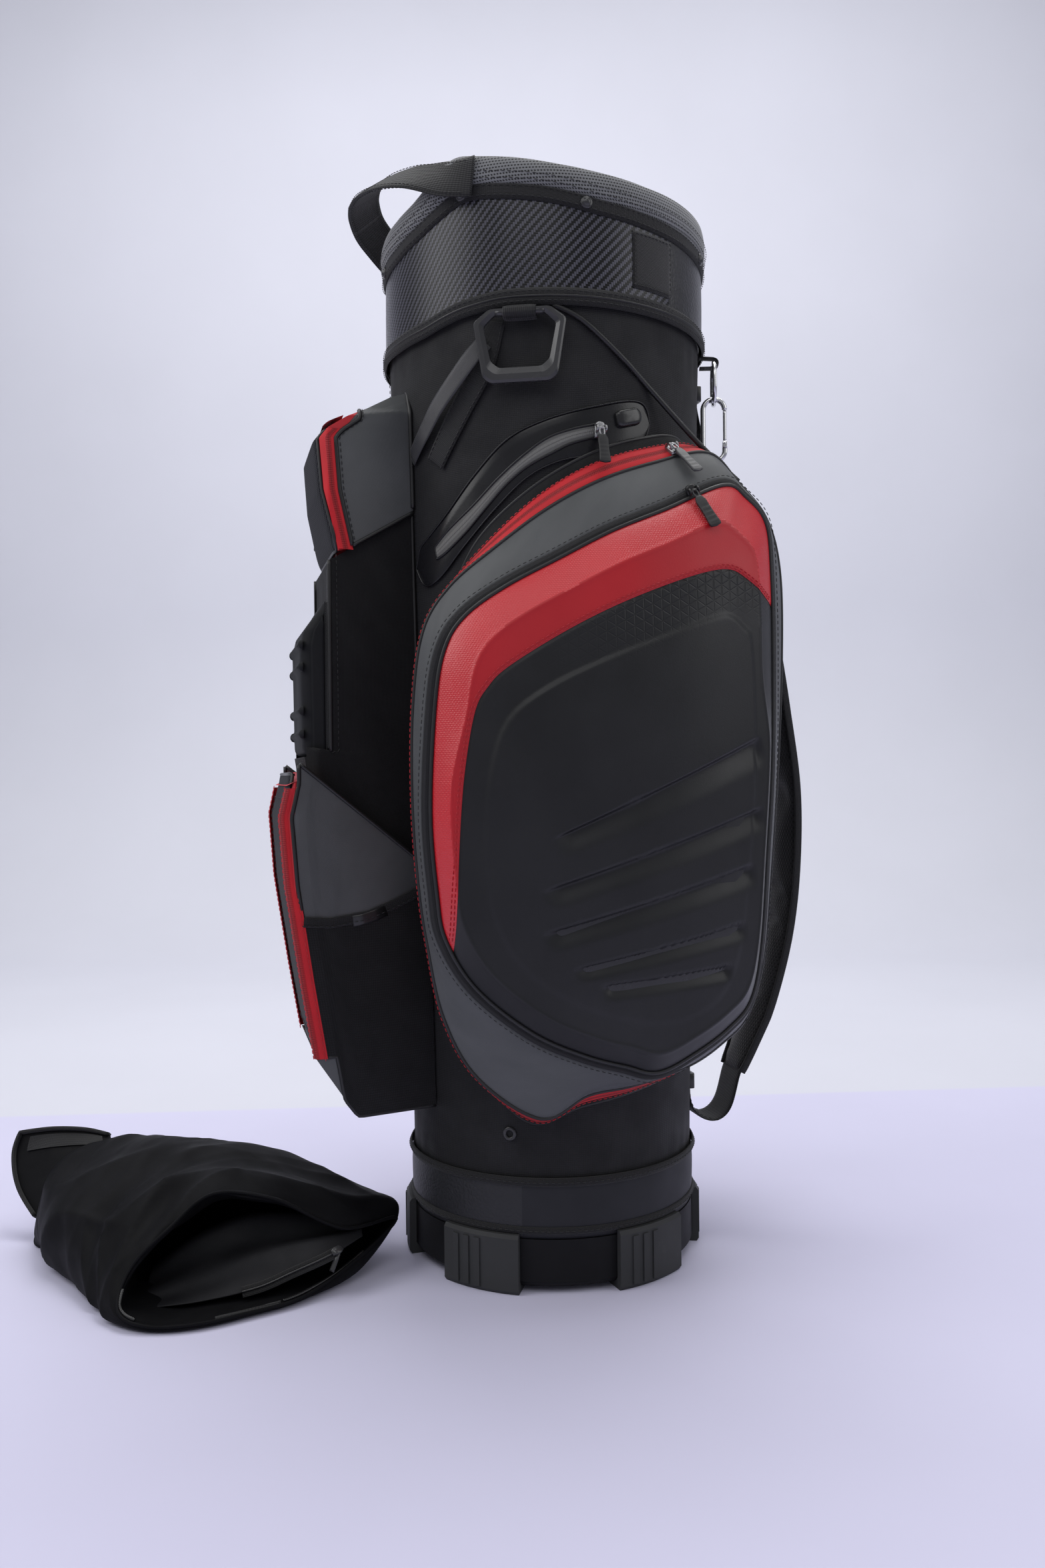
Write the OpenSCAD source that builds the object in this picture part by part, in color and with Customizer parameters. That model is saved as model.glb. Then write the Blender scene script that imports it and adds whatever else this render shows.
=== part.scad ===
// Golf cart bag: a stiff fabric tube on a moulded base, with a 14-way top, a padded rim, two moulded
// side pockets, a column of three front pockets, a welded valuables pocket, a shoulder strap and the
// rain hood lying beside it. Millimetres, +Z up, origin at the centre of the base on the ground.
// The pocket column faces -Y, the shoulder strap is at +Y and the side pockets are at +X and -X.

/* [Tube] */
// Outer radius of the fabric tube, extended down to the ground
tube_r_low = 121.5; // [118:0.5:124]
// Outer radius of the fabric tube under the collar
tube_r_high = 138; // [136:0.5:140]
// Height of the top of the tube
tube_top = 788; // [780:1:792]
// Thickness of the outer fabric
shell_wall = 2; // [1.5:0.1:2.5]
// Thickness of the stiff liner
liner_wall = 1.6; // [1.2:0.1:2]

/* [Base] */
// Height of the moulded base cup
cup_top = 44; // [40:1:46]
// Thickness of the floor of the cup
cup_floor = 4; // [3:0.5:6]
// Wall of the cup's inner upstand
upstand_wall = 3; // [2:0.5:4]
// Height of the top of the upstand
upstand_top = 84; // [70:1:88]
// Radial thickness of a rubber foot lug
lug_depth = 6; // [4:0.5:8]
// Height of a lug
lug_top = 48; // [40:1:50]
// Width of a lug, in degrees round the base
lug_span = 31; // [24:1:36]
// Height of the lower trim band
band_h = 40; // [30:1:42]
// Width of the binding tapes
binding_w = 12.5; // [10:0.5:14]
// Thickness of a binding tape
binding_t = 1.5; // [1:0.1:1.8]

/* [Dividers] */
// Distance of the outer cross dividers from the middle
row_y = 58; // [54:1:60]
// Distance of the side dividers of the two middle rows from the middle
inner_x = 62; // [58:1:64]
// Distance of the dividers of the two end rows from the middle
outer_x = 38; // [35:1:40]
// Thickness of the divider sheets
divider_t = 1.5; // [1:0.1:2]
// Width of the bars of the moulded top
bar_w = 4; // [3:0.5:4.5]
// Height of the bars of the moulded top
bar_h = 10; // [8:0.5:12]
// Radius of the stiffening stays
stay_r = 3.5; // [3:0.25:4]

/* [Collar] */
// Height of the collar's stiff ring
cuff_h = 70; // [66:1:72]
// Wall of the collar's stiff ring
cuff_wall = 4; // [3:0.5:5]
// Thickness of the collar's fabric
collar_t = 2; // [1.5:0.1:2.5]
// Thickness of the padded rim
rim_t = 12; // [10:0.5:14]
// Radius of a snap stud
stud_r = 4.6; // [4:0.1:5]

/* [Side pockets] */
// Distance of a side lid's edge out from the tube's largest radius
lid_rise = 34; // [32:0.5:38]
// How far the lid's middle stands out from its edge
lid_crown = 20; // [16:0.5:22]
// Thickness of the moulded lid
lid_t = 3.5; // [2.5:0.1:4]
// Thickness of the gusset
gusset_t = 3; // [2.5:0.1:3.5]
// Distance of the gusset's floor out from the tube's largest radius
gusset_rise = 10; // [8:0.5:12]
// Width of the long red zip
red_zip_w = 16; // [12:0.5:18]
// Width of the zip round the lid
lid_zip_w = 7; // [6:0.5:8]

/* [Front pockets] */
// Thickness of the pocket walls
pocket_wall = 3; // [2.5:0.1:4]
// Thickness of the pocket covers
cover_t = 4; // [3:0.5:5]
// Width of the zip bands of the front pockets
front_zip_w = 13; // [10:0.5:15]
// Half width of the ball pocket at its front
ball_half = 76; // [70:1:80]
// Half width of the middle and top pockets at their fronts
column_half = 58; // [54:1:60]
// Half width of the middle and top pockets where they meet the tube
column_root = 37; // [34:1:40]
// Half width of the ball pocket where it meets the tube
ball_root = 45; // [42:1:48]

/* [Fittings] */
// Radius of the wire of the towel ring's top bar
ring_bar_r = 3; // [2.5:0.1:3.5]
// Thickness of the hexagonal towel ring
ring_t = 6; // [5:0.5:7]
// Radius of the wire of the oval ring and the carabiner
wire_r = 2; // [1.6:0.1:2.4]
// Width of the shoulder strap's pad
pad_w = 56; // [50:1:60]
// Thickness of the shoulder strap's pad
pad_t = 12; // [10:0.5:14]
// Width of the webbing of the shoulder strap
web_w = 38; // [32:1:40]
// Width of the webbing of the grab handle
grab_w = 32; // [28:1:34]
// Running clearance between moving pieces
gap = 0.4; // [0.3:0.05:0.5]

/* [Hidden] */
$fn = 96;

// ---- derived sizes ----
facets = 72;                                   // steps round the collar's soft rings
facet_cos = cos(180 / facets);
cup_r = tube_r_low + 3;
liner_gap = 0.2;
cup_seat_z = cup_floor + 1;                    // underside of the cup over the lugs
lug_r = cup_r + 0.3;
band_z = cup_top + 5;
cuff_z = tube_top + 0.3;
cuff_r = tube_r_high + 0.2;
cuff_top = cuff_z + cuff_h;
collar_in = (cuff_r + 0.3) / facet_cos;
collar_out = collar_in + collar_t;
bind_in = collar_out + 0.3;
bind_out = bind_in + binding_t;
flange_z = cuff_top - bar_h - 4.6;
divider_z = flange_z + 4.3;
divider_r = cuff_r - cuff_wall - 5;
rim_in = divider_r - 1;

// Heights round the collar: [azimuth from the front, height above the tube's top]
RIM_CREST = [[0, 95], [15, 97], [26, 101], [33, 109], [39, 119], [45, 124], [52, 120], [66, 114],
    [79, 108], [92, 104], [110, 101], [145, 102], [180, 104]];
BIND_TOP = [[0, 72], [15, 74], [29, 81], [38, 89], [45, 96], [50, 98], [57, 96], [75, 90], [92, 82],
    [112, 78], [140, 76], [180, 76]];
COLLAR_LOW = [[0, -13], [14, -15], [31, -14], [45, -7], [60, -3], [180, -3]];

// Outlines of a side pocket in [Y, Z], all with the same stations: up the back edge, over the top,
// down the front edge, round the bottom
LID_EDGE = [[148, 510], [147, 575], [142, 618], [122, 637], [101, 644], [49, 621], [4, 602],
    [-38, 580], [-79, 558], [-109, 536], [-124, 511], [-131, 469], [-135, 390], [-131, 328],
    [-125, 293], [-103, 256], [-62, 222], [-22, 203], [10, 193], [37, 186], [70, 198], [100, 214],
    [122, 234], [133, 276], [140, 350], [146, 425]];
GUSSET_EDGE = [[172, 510], [171, 585], [157, 628], [127, 655], [97, 676], [47, 663], [1, 646],
    [-42, 622], [-83, 591], [-116, 562], [-136, 528], [-144, 470], [-145, 395], [-141, 330],
    [-135, 285], [-124, 230], [-99, 183], [-51, 150], [-14, 166], [25, 171], [74, 182], [106, 197],
    [131, 216], [148, 258], [157, 325], [166, 415]];
WALL_FOOT = [[118, 505], [117, 585], [112, 640], [100, 668], [85, 694], [40, 686], [-5, 669],
    [-48, 643], [-84, 608], [-101, 570], [-105, 530], [-106, 465], [-106, 395], [-105, 335],
    [-104, 280], [-100, 225], [-84, 172], [-50, 138], [-14, 150], [25, 157], [72, 166], [95, 178],
    [110, 200], [116, 250], [117, 320], [118, 410]];
LID_CENTRE = [8, 412];
side_bow = 0.0011;                             // how the lid's surface falls back with Y squared
lid_x = tube_r_high + lid_rise;
gusset_x = tube_r_high + gusset_rise;
outline_steps = 2;                             // samples for each station of an outline

// Front lines of the pocket column in [Y, Z], from the bottom up
BALL_FRONT = [[-216, 190], [-226, 250], [-238, 330], [-242, 385], [-236, 412]];
ACCESSORY_FRONT = [[-197, 601], [-208, 650], [-211, 692]];
ball_top_y = -225;
ball_top_z = 425;
ball_fall = 0.809;                             // slope of the ball pocket's top towards the tube
ball_floor = 141;
mid_front = -200;
mid_cover_y = -222;
mid_cover_low = 434;
mid_cover_high = 560;

// Centre line of the shoulder strap's pad in [Y, Z], from the top down
PAD_LINE = [[148, 712], [170, 672], [194, 606], [212, 540], [224, 470], [233, 400], [232, 330],
    [224, 268], [208, 210], [190, 166], [176, 136]];
// Half of the grab handle's centre line, from the rim to its middle: [azimuth, distance out from the
// collar's binding, height above the tube's top]
GRAB_LINE = [[52, 2, 114], [44, 2, 115], [35.9, 3.9, 118], [26.9, 7.9, 121], [16.8, 13.2, 124],
    [7.2, 16.3, 126.5], [0, 17.6, 127]];
// Satin strap: [azimuth, distance out from the tube, height]
SATIN_LINE = [[54, 1.6, 754], [49, 7, 750], [42, 11, 740], [35, 11, 724], [29, 7, 706],
    [23, 1.6, 686]];
// Rain hood's outline on the ground in [X, Y]
HOOD_FOOT = [[92, -312], [80, -262], [45, -212], [5, -182], [-40, -182], [-85, -215], [-118, -275],
    [-150, -350], [-165, -415], [-120, -452], [-50, -430], [30, -392], [75, -362]];
HOOD_CENTRE = [-25, -310];

// ---- shared functions ----
function mix(a, b, t) = a + (b - a) * t;
function wrap(i, n) = (i + n) % n;
function tube_r(z) = mix(tube_r_low, tube_r_high, z / tube_top);
function around(az, r, z) = [r * sin(az), -r * cos(az), z];
function table_at(t, a, i = 0) = a <= t[i + 1][0] || i == len(t) - 2
    ? mix(t[i][1], t[i + 1][1], (a - t[i][0]) / (t[i + 1][0] - t[i][0])) : table_at(t, a, i + 1);
function height_at(t, az) = tube_top + table_at(t, az > 180 ? 360 - az : az);
function smooth(a, b, c, d, t) = 0.5 * (2 * b + (c - a) * t + (2 * a - 5 * b + 4 * c - d) * t * t
    + (3 * b - a - 3 * c + d) * t * t * t);
function closed_curve(p, steps) = let (n = len(p)) [for (i = [0 : n - 1]) for (k = [0 : steps - 1])
    smooth(p[wrap(i - 1, n)], p[i], p[wrap(i + 1, n)], p[wrap(i + 2, n)], k / steps)];
function unit(v) = v / norm(v);
// A closed outline, counter-clockwise, moved out along its own normals
function grow(p, d) = let (n = len(p)) [for (i = [0 : n - 1])
    let (t = unit(p[wrap(i + 1, n)] - p[wrap(i - 1, n)])) p[i] + d * [t[1], -t[0]]];
function shrink_to(p, c, k) = [for (q = p) mix(c, q, k)];
// Points of an outline set on the bowed surface that stands x out at Y = 0
function on_bow(p, x) = [for (q = p) [x - side_bow * q[0] * q[0], q[0], q[1]]];
// Points of an outline set on the tube, out by d
function on_tube(p, d) = [for (q = p) let (r = tube_r(q[1]) + d) [sqrt(r * r - q[0] * q[0]), q[0], q[1]]];
function mirrored(rings) = [for (r = rings) [for (q = r) [-q[0], q[1], q[2]]]];

// ---- shared modules ----
// A closed ring whose section is the list of rings, each with the same number of points
module ring_solid(rings, flip = false) {
    m = len(rings);
    n = len(rings[0]);
    faces = [for (i = [0 : m - 1]) for (j = [0 : n - 1])
        let (a = i * n + j, b = i * n + (j + 1) % n, c = ((i + 1) % m) * n + (j + 1) % n,
            d = ((i + 1) % m) * n + j) each [[a, b, c], [a, c, d]]];
    polyhedron([for (r = rings) each r], flip ? [for (f = faces) [f[2], f[1], f[0]]] : faces);
}

// A closed skin from the first point, over the rings, to the last point
module dome_solid(first, rings, last, flip = false) {
    m = len(rings);
    n = len(rings[0]);
    top = m * n;
    faces = concat(
        [for (j = [0 : n - 1]) [top, (j + 1) % n, j]],
        [for (i = [0 : m - 2]) for (j = [0 : n - 1])
            let (a = i * n + j, b = i * n + (j + 1) % n, c = (i + 1) * n + (j + 1) % n,
                d = (i + 1) * n + j) each [[a, b, c], [a, c, d]]],
        [for (j = [0 : n - 1]) [top + 1, (m - 1) * n + j, (m - 1) * n + (j + 1) % n]]);
    polyhedron(concat([for (r = rings) each r], [first, last]),
        flip ? [for (f = faces) [f[2], f[1], f[0]]] : faces);
}

// A sweep whose ends are flat: rings of the same number of points
module sweep_solid(rings) {
    m = len(rings);
    n = len(rings[0]);
    faces = concat([[for (j = [0 : n - 1]) n - 1 - j]],
        [for (i = [0 : m - 2]) for (j = [0 : n - 1])
            let (a = i * n + j, b = i * n + (j + 1) % n, c = (i + 1) * n + (j + 1) % n,
                d = (i + 1) * n + j) each [[a, c, d], [a, b, c]]],
        [[for (j = [0 : n - 1]) (m - 1) * n + j]]);
    polyhedron([for (r = rings) each r], faces);
}

// A soft ring round the collar: section(az) gives [radius, height] pairs
module collar_ring(sections) {
    ring_solid([for (k = [0 : len(sections[0]) - 1]) [for (i = [0 : facets - 1])
        around(i * 360 / facets, sections[i][k][0], sections[i][k][1])]], true);
}

module cone_shell(out, t, z0, z1) {
    rotate_extrude() polygon([[tube_r(z0) + out, z0], [tube_r(z0) + out + t, z0],
        [tube_r(z1) + out + t, z1], [tube_r(z1) + out, z1]]);
}

module cone_solid(out, z0, z1) {
    rotate_extrude() polygon([[0, z0], [tube_r(z0) + out, z0], [tube_r(z1) + out, z1], [0, z1]]);
}

// Extrudes a [Y, Z] outline along X
module across(half, outline) {
    rotate([90, 0, 90]) translate([0, 0, -half]) linear_extrude(2 * half) polygon(outline);
}

// A flat outline in [sideways, height], cut through the tube's skin at an azimuth
module skin_patch(az, outline, out, t, z0, z1) {
    intersection() {
        cone_shell(out, t, z0, z1);
        rotate([0, 0, az]) rotate([90, 0, 0]) linear_extrude(200) polygon(outline);
    }
}

// ---- base ----
LUG_AZIMUTHS = [-14, 46, 114, 174, 234, 290];
lug_in = 106;
cup_pad_r = 30;
lug_ribs = [5, 9.5, 14];
floor_z = cup_seat_z + cup_floor;
upstand_r = tube_r(cup_top) - shell_wall - liner_gap - liner_wall - 0.3;
bore_r = upstand_r - upstand_wall;

cup_joint = 0.15;                              // the cup's wall is joined to its floor at this seam
module base_cup() {
    color([0.06, 0.06, 0.065]) {
        rotate_extrude() polygon([[0, 0], [cup_pad_r, 0], [cup_pad_r, cup_seat_z],
            [lug_in - 8, cup_seat_z], [lug_in - 8, 0], [lug_in - 0.3, 0], [lug_in - 0.3, cup_seat_z],
            [cup_r - 4.5, cup_seat_z], [cup_r - 0.5, floor_z], [0, floor_z]]);
        rotate_extrude() polygon([[bore_r, floor_z + cup_joint], [cup_r - 0.5, floor_z + cup_joint],
            [cup_r, floor_z + 0.5 + cup_joint], [cup_r, cup_top], [upstand_r, cup_top],
            [upstand_r, upstand_top], [bore_r, upstand_top]]);
    }
}

module foot_lugs() {
    color([0.3, 0.31, 0.32]) for (az = LUG_AZIMUTHS) rotate([0, 0, az - 90 - lug_span / 2]) {
        rotate_extrude(angle = lug_span) polygon([[lug_in, 0], [lug_r + lug_depth - 2, 0],
            [lug_r + lug_depth, 3], [lug_r + lug_depth, lug_top - 3], [lug_r + lug_depth - 2, lug_top],
            [lug_r, lug_top], [lug_r, cup_seat_z + 4.3], [lug_r - 4.6, cup_seat_z - 0.3],
            [lug_in, cup_seat_z - 0.3]]);
        for (a = lug_ribs) rotate([0, 0, a]) rotate_extrude(angle = 2.4)
            polygon([[lug_r + 1, 4], [lug_r + lug_depth + 1.3, 4],
                [lug_r + lug_depth + 1.3, lug_top - 5], [lug_r + 1, lug_top - 5]]);
    }
}

module lower_band() {
    color([0.13, 0.13, 0.14]) cone_shell(0.3, 1.5, cup_top + 0.5, band_z + band_h);
}

module binding_tapes() {
    color([0.04, 0.04, 0.045]) {
        cone_shell(2, binding_t, lug_top + 0.4, lug_top + 6);
        cone_shell(2, binding_t, band_z + band_h - 2, band_z + band_h + 5);
        collar_ring([for (i = [0 : facets - 1]) let (z = height_at(COLLAR_LOW, i * 360 / facets))
            [[bind_in, z], [bind_out, z], [bind_out, z + binding_w + 1.5], [bind_in, z + binding_w + 1.5]]]);
        collar_ring([for (i = [0 : facets - 1]) let (z = height_at(BIND_TOP, i * 360 / facets))
            [[bind_in, z - binding_w], [bind_out, z - binding_w], [bind_out, z], [bind_in, z]]]);
    }
}

// ---- tube ----
module body_shell() {
    color([0.05, 0.05, 0.055]) cone_shell(-shell_wall, shell_wall, cup_top, tube_top);
}

module tube_liner() {
    color([0.2, 0.2, 0.22])
        cone_shell(-shell_wall - liner_gap - liner_wall, liner_wall, cup_top, tube_top);
}

stay_az = 33;
stay_low_r = bore_r - stay_r - 2.6;
stay_high_r = divider_r - 2.5;
module spine_stays() {
    tilt = atan((stay_high_r - stay_low_r) / (flange_z - floor_z));
    color([0.75, 0.75, 0.7]) for (az = [stay_az, 180 - stay_az, 180 + stay_az, -stay_az])
        translate(around(az, stay_low_r, floor_z + 0.3)) rotate([0, 0, az]) rotate([tilt, 0, 0])
            cylinder(r = stay_r, h = flange_z - floor_z - 0.7, $fn = 24);
}

// Half width of a divider sheet at distance c from the middle, inside radius r
function chord(r, c) = sqrt(r * r - c * c);
sheet_low_r = bore_r - 0.6;
sheet_high_r = tube_r(tube_top) - shell_wall - liner_gap - liner_wall - 0.8;
sheet_z = floor_z + 0.3;
sheet_top = divider_z - 0.3;

module cross_sheet(c) {
    low = chord(sheet_low_r, c);
    high = chord(sheet_high_r, c);
    translate([0, c + divider_t / 2, 0]) rotate([90, 0, 0]) linear_extrude(divider_t)
        polygon([[-low, sheet_z], [low, sheet_z], [low, upstand_top + 2], [high, tube_top],
            [divider_neck(c), tube_top + 2], [divider_neck(c), sheet_top],
            [-divider_neck(c), sheet_top], [-divider_neck(c), tube_top + 2], [-high, tube_top],
            [-low, upstand_top + 2]]);
}
// Half width of a sheet where it passes the collar ring's flange
function divider_neck(c) = chord(divider_r - 6.8, c);

module side_sheet(c, y0, y1) {
    translate([c - divider_t / 2, y0, sheet_z]) cube([divider_t, y1 - y0, sheet_top - sheet_z]);
}

module end_sheet(c, side) {
    y0 = row_y + divider_t / 2 + 0.3;
    translate([c + divider_t / 2, 0, 0]) mirror([0, side < 0 ? 1 : 0, 0]) rotate([90, 0, -90])
        linear_extrude(divider_t) mirror([1, 0]) polygon([[y0, sheet_z], [chord(sheet_low_r, c), sheet_z],
            [chord(sheet_low_r, c), upstand_top + 2], [chord(sheet_high_r, c), tube_top],
            [divider_neck(c), tube_top + 2], [divider_neck(c), sheet_top], [y0, sheet_top]]);
}

module divider_panels() {
    color([0.12, 0.12, 0.13]) {
        for (c = [-row_y, 0, row_y]) cross_sheet(c);
        for (c = [-inner_x, 0, inner_x]) {
            side_sheet(c, divider_t / 2 + 0.3, row_y - divider_t / 2 - 0.3);
            side_sheet(c, divider_t / 2 + 0.3 - row_y, -divider_t / 2 - 0.3);
        }
        for (c = [-outer_x, outer_x], side = [-1, 1]) end_sheet(c, side);
    }
}

module divider_top() {
    color([0.1, 0.1, 0.105]) translate([0, 0, divider_z]) {
        difference() {
            cylinder(r = divider_r, h = bar_h);
            translate([0, 0, -1]) cylinder(r = divider_r - 6, h = bar_h + 2);
        }
        intersection() {
            cylinder(r = divider_r - 3, h = bar_h);
            union() {
                for (c = [-row_y, 0, row_y]) translate([-150, c - bar_w / 2, 0])
                    cube([300, bar_w, bar_h]);
                for (c = [-inner_x, 0, inner_x]) translate([c - bar_w / 2, -row_y, 0])
                    cube([bar_w, 2 * row_y, bar_h]);
                for (c = [-outer_x, outer_x], y = [-150, row_y]) translate([c - bar_w / 2, y, 0])
                    cube([bar_w, 150 - row_y, bar_h]);
            }
        }
    }
}

// ---- collar ----
module cuff_ring() {
    color([0.08, 0.08, 0.085]) rotate_extrude() polygon([[cuff_r - cuff_wall, cuff_z],
        [cuff_r, cuff_z], [cuff_r, cuff_top], [cuff_r - cuff_wall, cuff_top],
        [cuff_r - cuff_wall, divider_z], [divider_r - 6, divider_z], [divider_r - 6, flange_z],
        [cuff_r - cuff_wall, flange_z]]);
}

module collar_band() {
    color([0.16, 0.16, 0.17]) collar_ring([for (i = [0 : facets - 1])
        let (az = i * 360 / facets, z0 = height_at(COLLAR_LOW, az) + 5, z1 = height_at(BIND_TOP, az) - 4)
        [[collar_in, z0], [collar_out, z0], [collar_out, z1], [collar_in, z1]]]);
}

module rim_pad() {
    color([0.35, 0.36, 0.36]) collar_ring([for (i = [0 : facets - 1])
        let (az = i * 360 / facets, low = cuff_top + 0.3, step = height_at(BIND_TOP, az) + 0.3,
            crest = height_at(RIM_CREST, az))
        [[collar_in - 0.4, low], [collar_in - 0.4, step], [bind_in + 0.4, step + 0.4],
            [bind_out, mix(step, crest, 0.5)], [bind_out - 2.4, crest - 3.5],
            [bind_out - rim_t / 2, crest], [bind_out - rim_t + 1.5, crest - 2.5],
            [rim_in + 0.6, crest - 10], [rim_in, low]]]);
}

STUD_AZIMUTHS = [-145, -88, -47, 0, 47, 88, 145, 180];
module snap_studs() {
    color([0.05, 0.05, 0.05]) for (az = STUD_AZIMUTHS)
        translate(around(az, bind_out + 0.1, height_at(BIND_TOP, (az + 360) % 360) - 6))
            rotate([0, 0, az]) rotate([90, 0, 0]) {
                cylinder(r = stud_r, h = 1.2, $fn = 32);
                cylinder(r = stud_r - 1.6, h = 2, $fn = 32);
            }
}

velcro_az = 113;
badge_az = -24;
module collar_patches() {
    color([0.03, 0.03, 0.03]) for (p = [[velcro_az, 17, 17, 46], [badge_az, 16, 4, 44]])
        rotate([0, 0, p[0] - 90 - p[1] / 2]) rotate_extrude(angle = p[1])
            translate([collar_out + 0.3, tube_top + p[2]]) square([1.6, p[3]]);
}

grab_t = 3;
grab_lean = 58;                                // how far the webbing leans over at its middle
module grab_handle() {
    half = smooth_line([for (p = GRAB_LINE) around(p[0], bind_out + p[1], tube_top + p[2])], 2);
    line = concat(half, [for (i = [len(half) - 2 : -1 : 0]) [-half[i][0], half[i][1], half[i][2]]]);
    n = len(line);
    color([0.04, 0.04, 0.045]) sweep_solid([for (i = [0 : n - 1])
        let (t = unit(line[min(i + 1, n - 1)] - line[max(i - 1, 0)]), out = unit(cross(t, [0, 0, 1])),
            lean = grab_lean * sin(180 * i / (n - 1)), up = unit(cross(out, t)),
            w = (cos(lean) * up + sin(lean) * out) * grab_w / 2, h = unit(cross(w, t)) * grab_t / 2)
        [line[i] + w + h, line[i] - w + h, line[i] - w - h, line[i] + w - h]]);
}

// An open curve through points, with samples for each span
function smooth_line(p, steps) = let (n = len(p)) [for (i = [0 : n - 2]) for (k = [0 : steps - 1])
    smooth(p[max(i - 1, 0)], p[i], p[i + 1], p[min(i + 2, n - 1)], k / steps), p[n - 1]];

// ---- towel ring, oval ring and carabiner ----
ring_az = 66.5;
ring_bar_z = tube_top - 9;
ring_bar_y = tube_r_high + 6.5;
ring_tab_w = 26;
oval_az = 160;
oval_bar_z = tube_top - 8;
oval_bar_y = tube_r_high + 13;
oval_tab_w = 10;
oval_r = 15;
oval_straight = 6;
oval_bow = oval_r - sqrt(oval_r * oval_r - oval_tab_w * oval_tab_w / 4);
oval_low_z = oval_bar_z - 2 * oval_r - oval_straight;

// Webbing tab at an azimuth, with a bore for a bar
module webbing_tab(az, bar_y, bar_z, w, bore) {
    back = tube_r(bar_z) + 0.3;
    rotate([0, 0, az]) translate([-w / 2, 0, 0]) rotate([90, 0, 90]) difference() {
        linear_extrude(w) polygon([[-back, bar_z - bore - 1.6], [-bar_y, bar_z - bore - 1.6],
            [-bar_y - bore - 1.6, bar_z - 2], [-bar_y - bore - 1.6, bar_z + 2],
            [-bar_y, bar_z + bore + 1.4], [-back, bar_z + bore + 1.4]]);
        translate([-bar_y, bar_z, -1]) cylinder(r = bore, h = w + 2);
    }
}

module ring_tabs() {
    color([0.04, 0.04, 0.045]) {
        webbing_tab(ring_az, ring_bar_y, ring_bar_z, ring_tab_w, ring_bar_r + gap);
        webbing_tab(oval_az, oval_bar_y, oval_bar_z, oval_tab_w, wire_r + oval_bow + gap);
    }
}

module towel_ring() {
    outer = [[-24, ring_bar_r], [-37, -7], [-30, -50], [-24, -55], [24, -55], [30, -50], [37, -7],
        [24, ring_bar_r]];
    inner = [[-19, 9], [-19, -3.5], [-28, -10], [-23, -38], [-17, -43], [17, -43], [23, -38],
        [28, -10], [19, -3.5], [19, 9]];
    color([0.1, 0.1, 0.11]) rotate([0, 0, ring_az]) translate([0, -ring_bar_y, ring_bar_z]) {
        rotate([90, 0, 0]) translate([0, 0, -ring_t / 2]) linear_extrude(ring_t) difference() {
            polygon(outer);
            polygon(inner);
        }
        translate([-19.5, 0, 0]) rotate([0, 90, 0]) cylinder(r = ring_bar_r, h = 39, $fn = 48);
    }
}

// Half a torus of wire in the X-Z plane, opening downwards
module wire_arch(r, wire) {
    rotate([90, 0, 0]) rotate_extrude(angle = 180) translate([r, 0]) circle(r = wire, $fn = 32);
}

module oval_ring() {
    color([0.8, 0.8, 0.82]) rotate([0, 0, oval_az]) translate([0, -oval_bar_y, oval_bar_z - oval_r]) {
        wire_arch(oval_r, wire_r);
        translate([0, 0, -oval_straight]) rotate([0, 180, 0]) wire_arch(oval_r, wire_r);
        for (x = [-oval_r, oval_r]) translate([x, 0, -oval_straight])
            cylinder(r = wire_r, h = oval_straight, $fn = 32);
    }
}

carabiner_r = 9.5;
carabiner_wire = 2.25;
carabiner_leg = 36;
carabiner_z = oval_low_z - (carabiner_r - carabiner_wire - wire_r - gap);   // centre of its top arch
gate_r = 1.5;
gate_pin_r = 0.8;
gate_low = 6;                                  // height of the gate's pin over the lower arch's centre

module carabiner() {
    color([0.8, 0.8, 0.82]) rotate([0, 0, oval_az]) translate([0, -oval_bar_y, carabiner_z])
        rotate([0, 0, 90]) {
            wire_arch(carabiner_r, carabiner_wire);
            translate([0, 0, -carabiner_leg]) rotate([0, 180, 0]) wire_arch(carabiner_r, carabiner_wire);
            translate([carabiner_r, 0, -carabiner_leg])
                cylinder(r = carabiner_wire, h = carabiner_leg, $fn = 32);
            translate([-carabiner_r, 0, -carabiner_leg])
                cylinder(r = carabiner_wire, h = gate_low - 3, $fn = 32);
            translate([-carabiner_r, 0, -carabiner_leg + gate_low]) rotate([90, 0, 0])
                translate([0, 0, -3.2]) cylinder(r = gate_pin_r, h = 6.4, $fn = 24);
            for (y = [-3.1, 1.9]) translate([-carabiner_r - 1.8, y, -carabiner_leg + gate_low - 4.8])
                cube([3.6, 1.2, 6.6]);
        }
}

module carabiner_gate() {
    color([0.75, 0.75, 0.78]) rotate([0, 0, oval_az]) translate([0, -oval_bar_y, carabiner_z])
        rotate([0, 0, 90]) translate([-carabiner_r, 0, -carabiner_leg + gate_low]) difference() {
            union() {
                rotate([90, 0, 0]) translate([0, 0, -1.7]) cylinder(r = 2, h = 3.4, $fn = 32);
                cylinder(r = gate_r, h = carabiner_leg - gate_low - gap, $fn = 32);
            }
            rotate([90, 0, 0]) translate([0, 0, -3]) cylinder(r = gate_pin_r + 0.2, h = 6, $fn = 24);
        }
}

module satin_strap() {
    line = [for (p = smooth_line(SATIN_LINE, 3)) around(p[0], tube_r(p[2]) + p[1], p[2])];
    n = len(line);
    color([0.09, 0.09, 0.1]) sweep_solid([for (i = [0 : n - 1])
        let (t = unit(line[min(i + 1, n - 1)] - line[max(i - 1, 0)]),
            w = unit(cross(t, [line[i][0], line[i][1], 0])) * 6.5, h = unit(cross(w, t)) * 0.6)
        [line[i] + w + h, line[i] - w + h, line[i] - w - h, line[i] + w - h]]);
}

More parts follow.
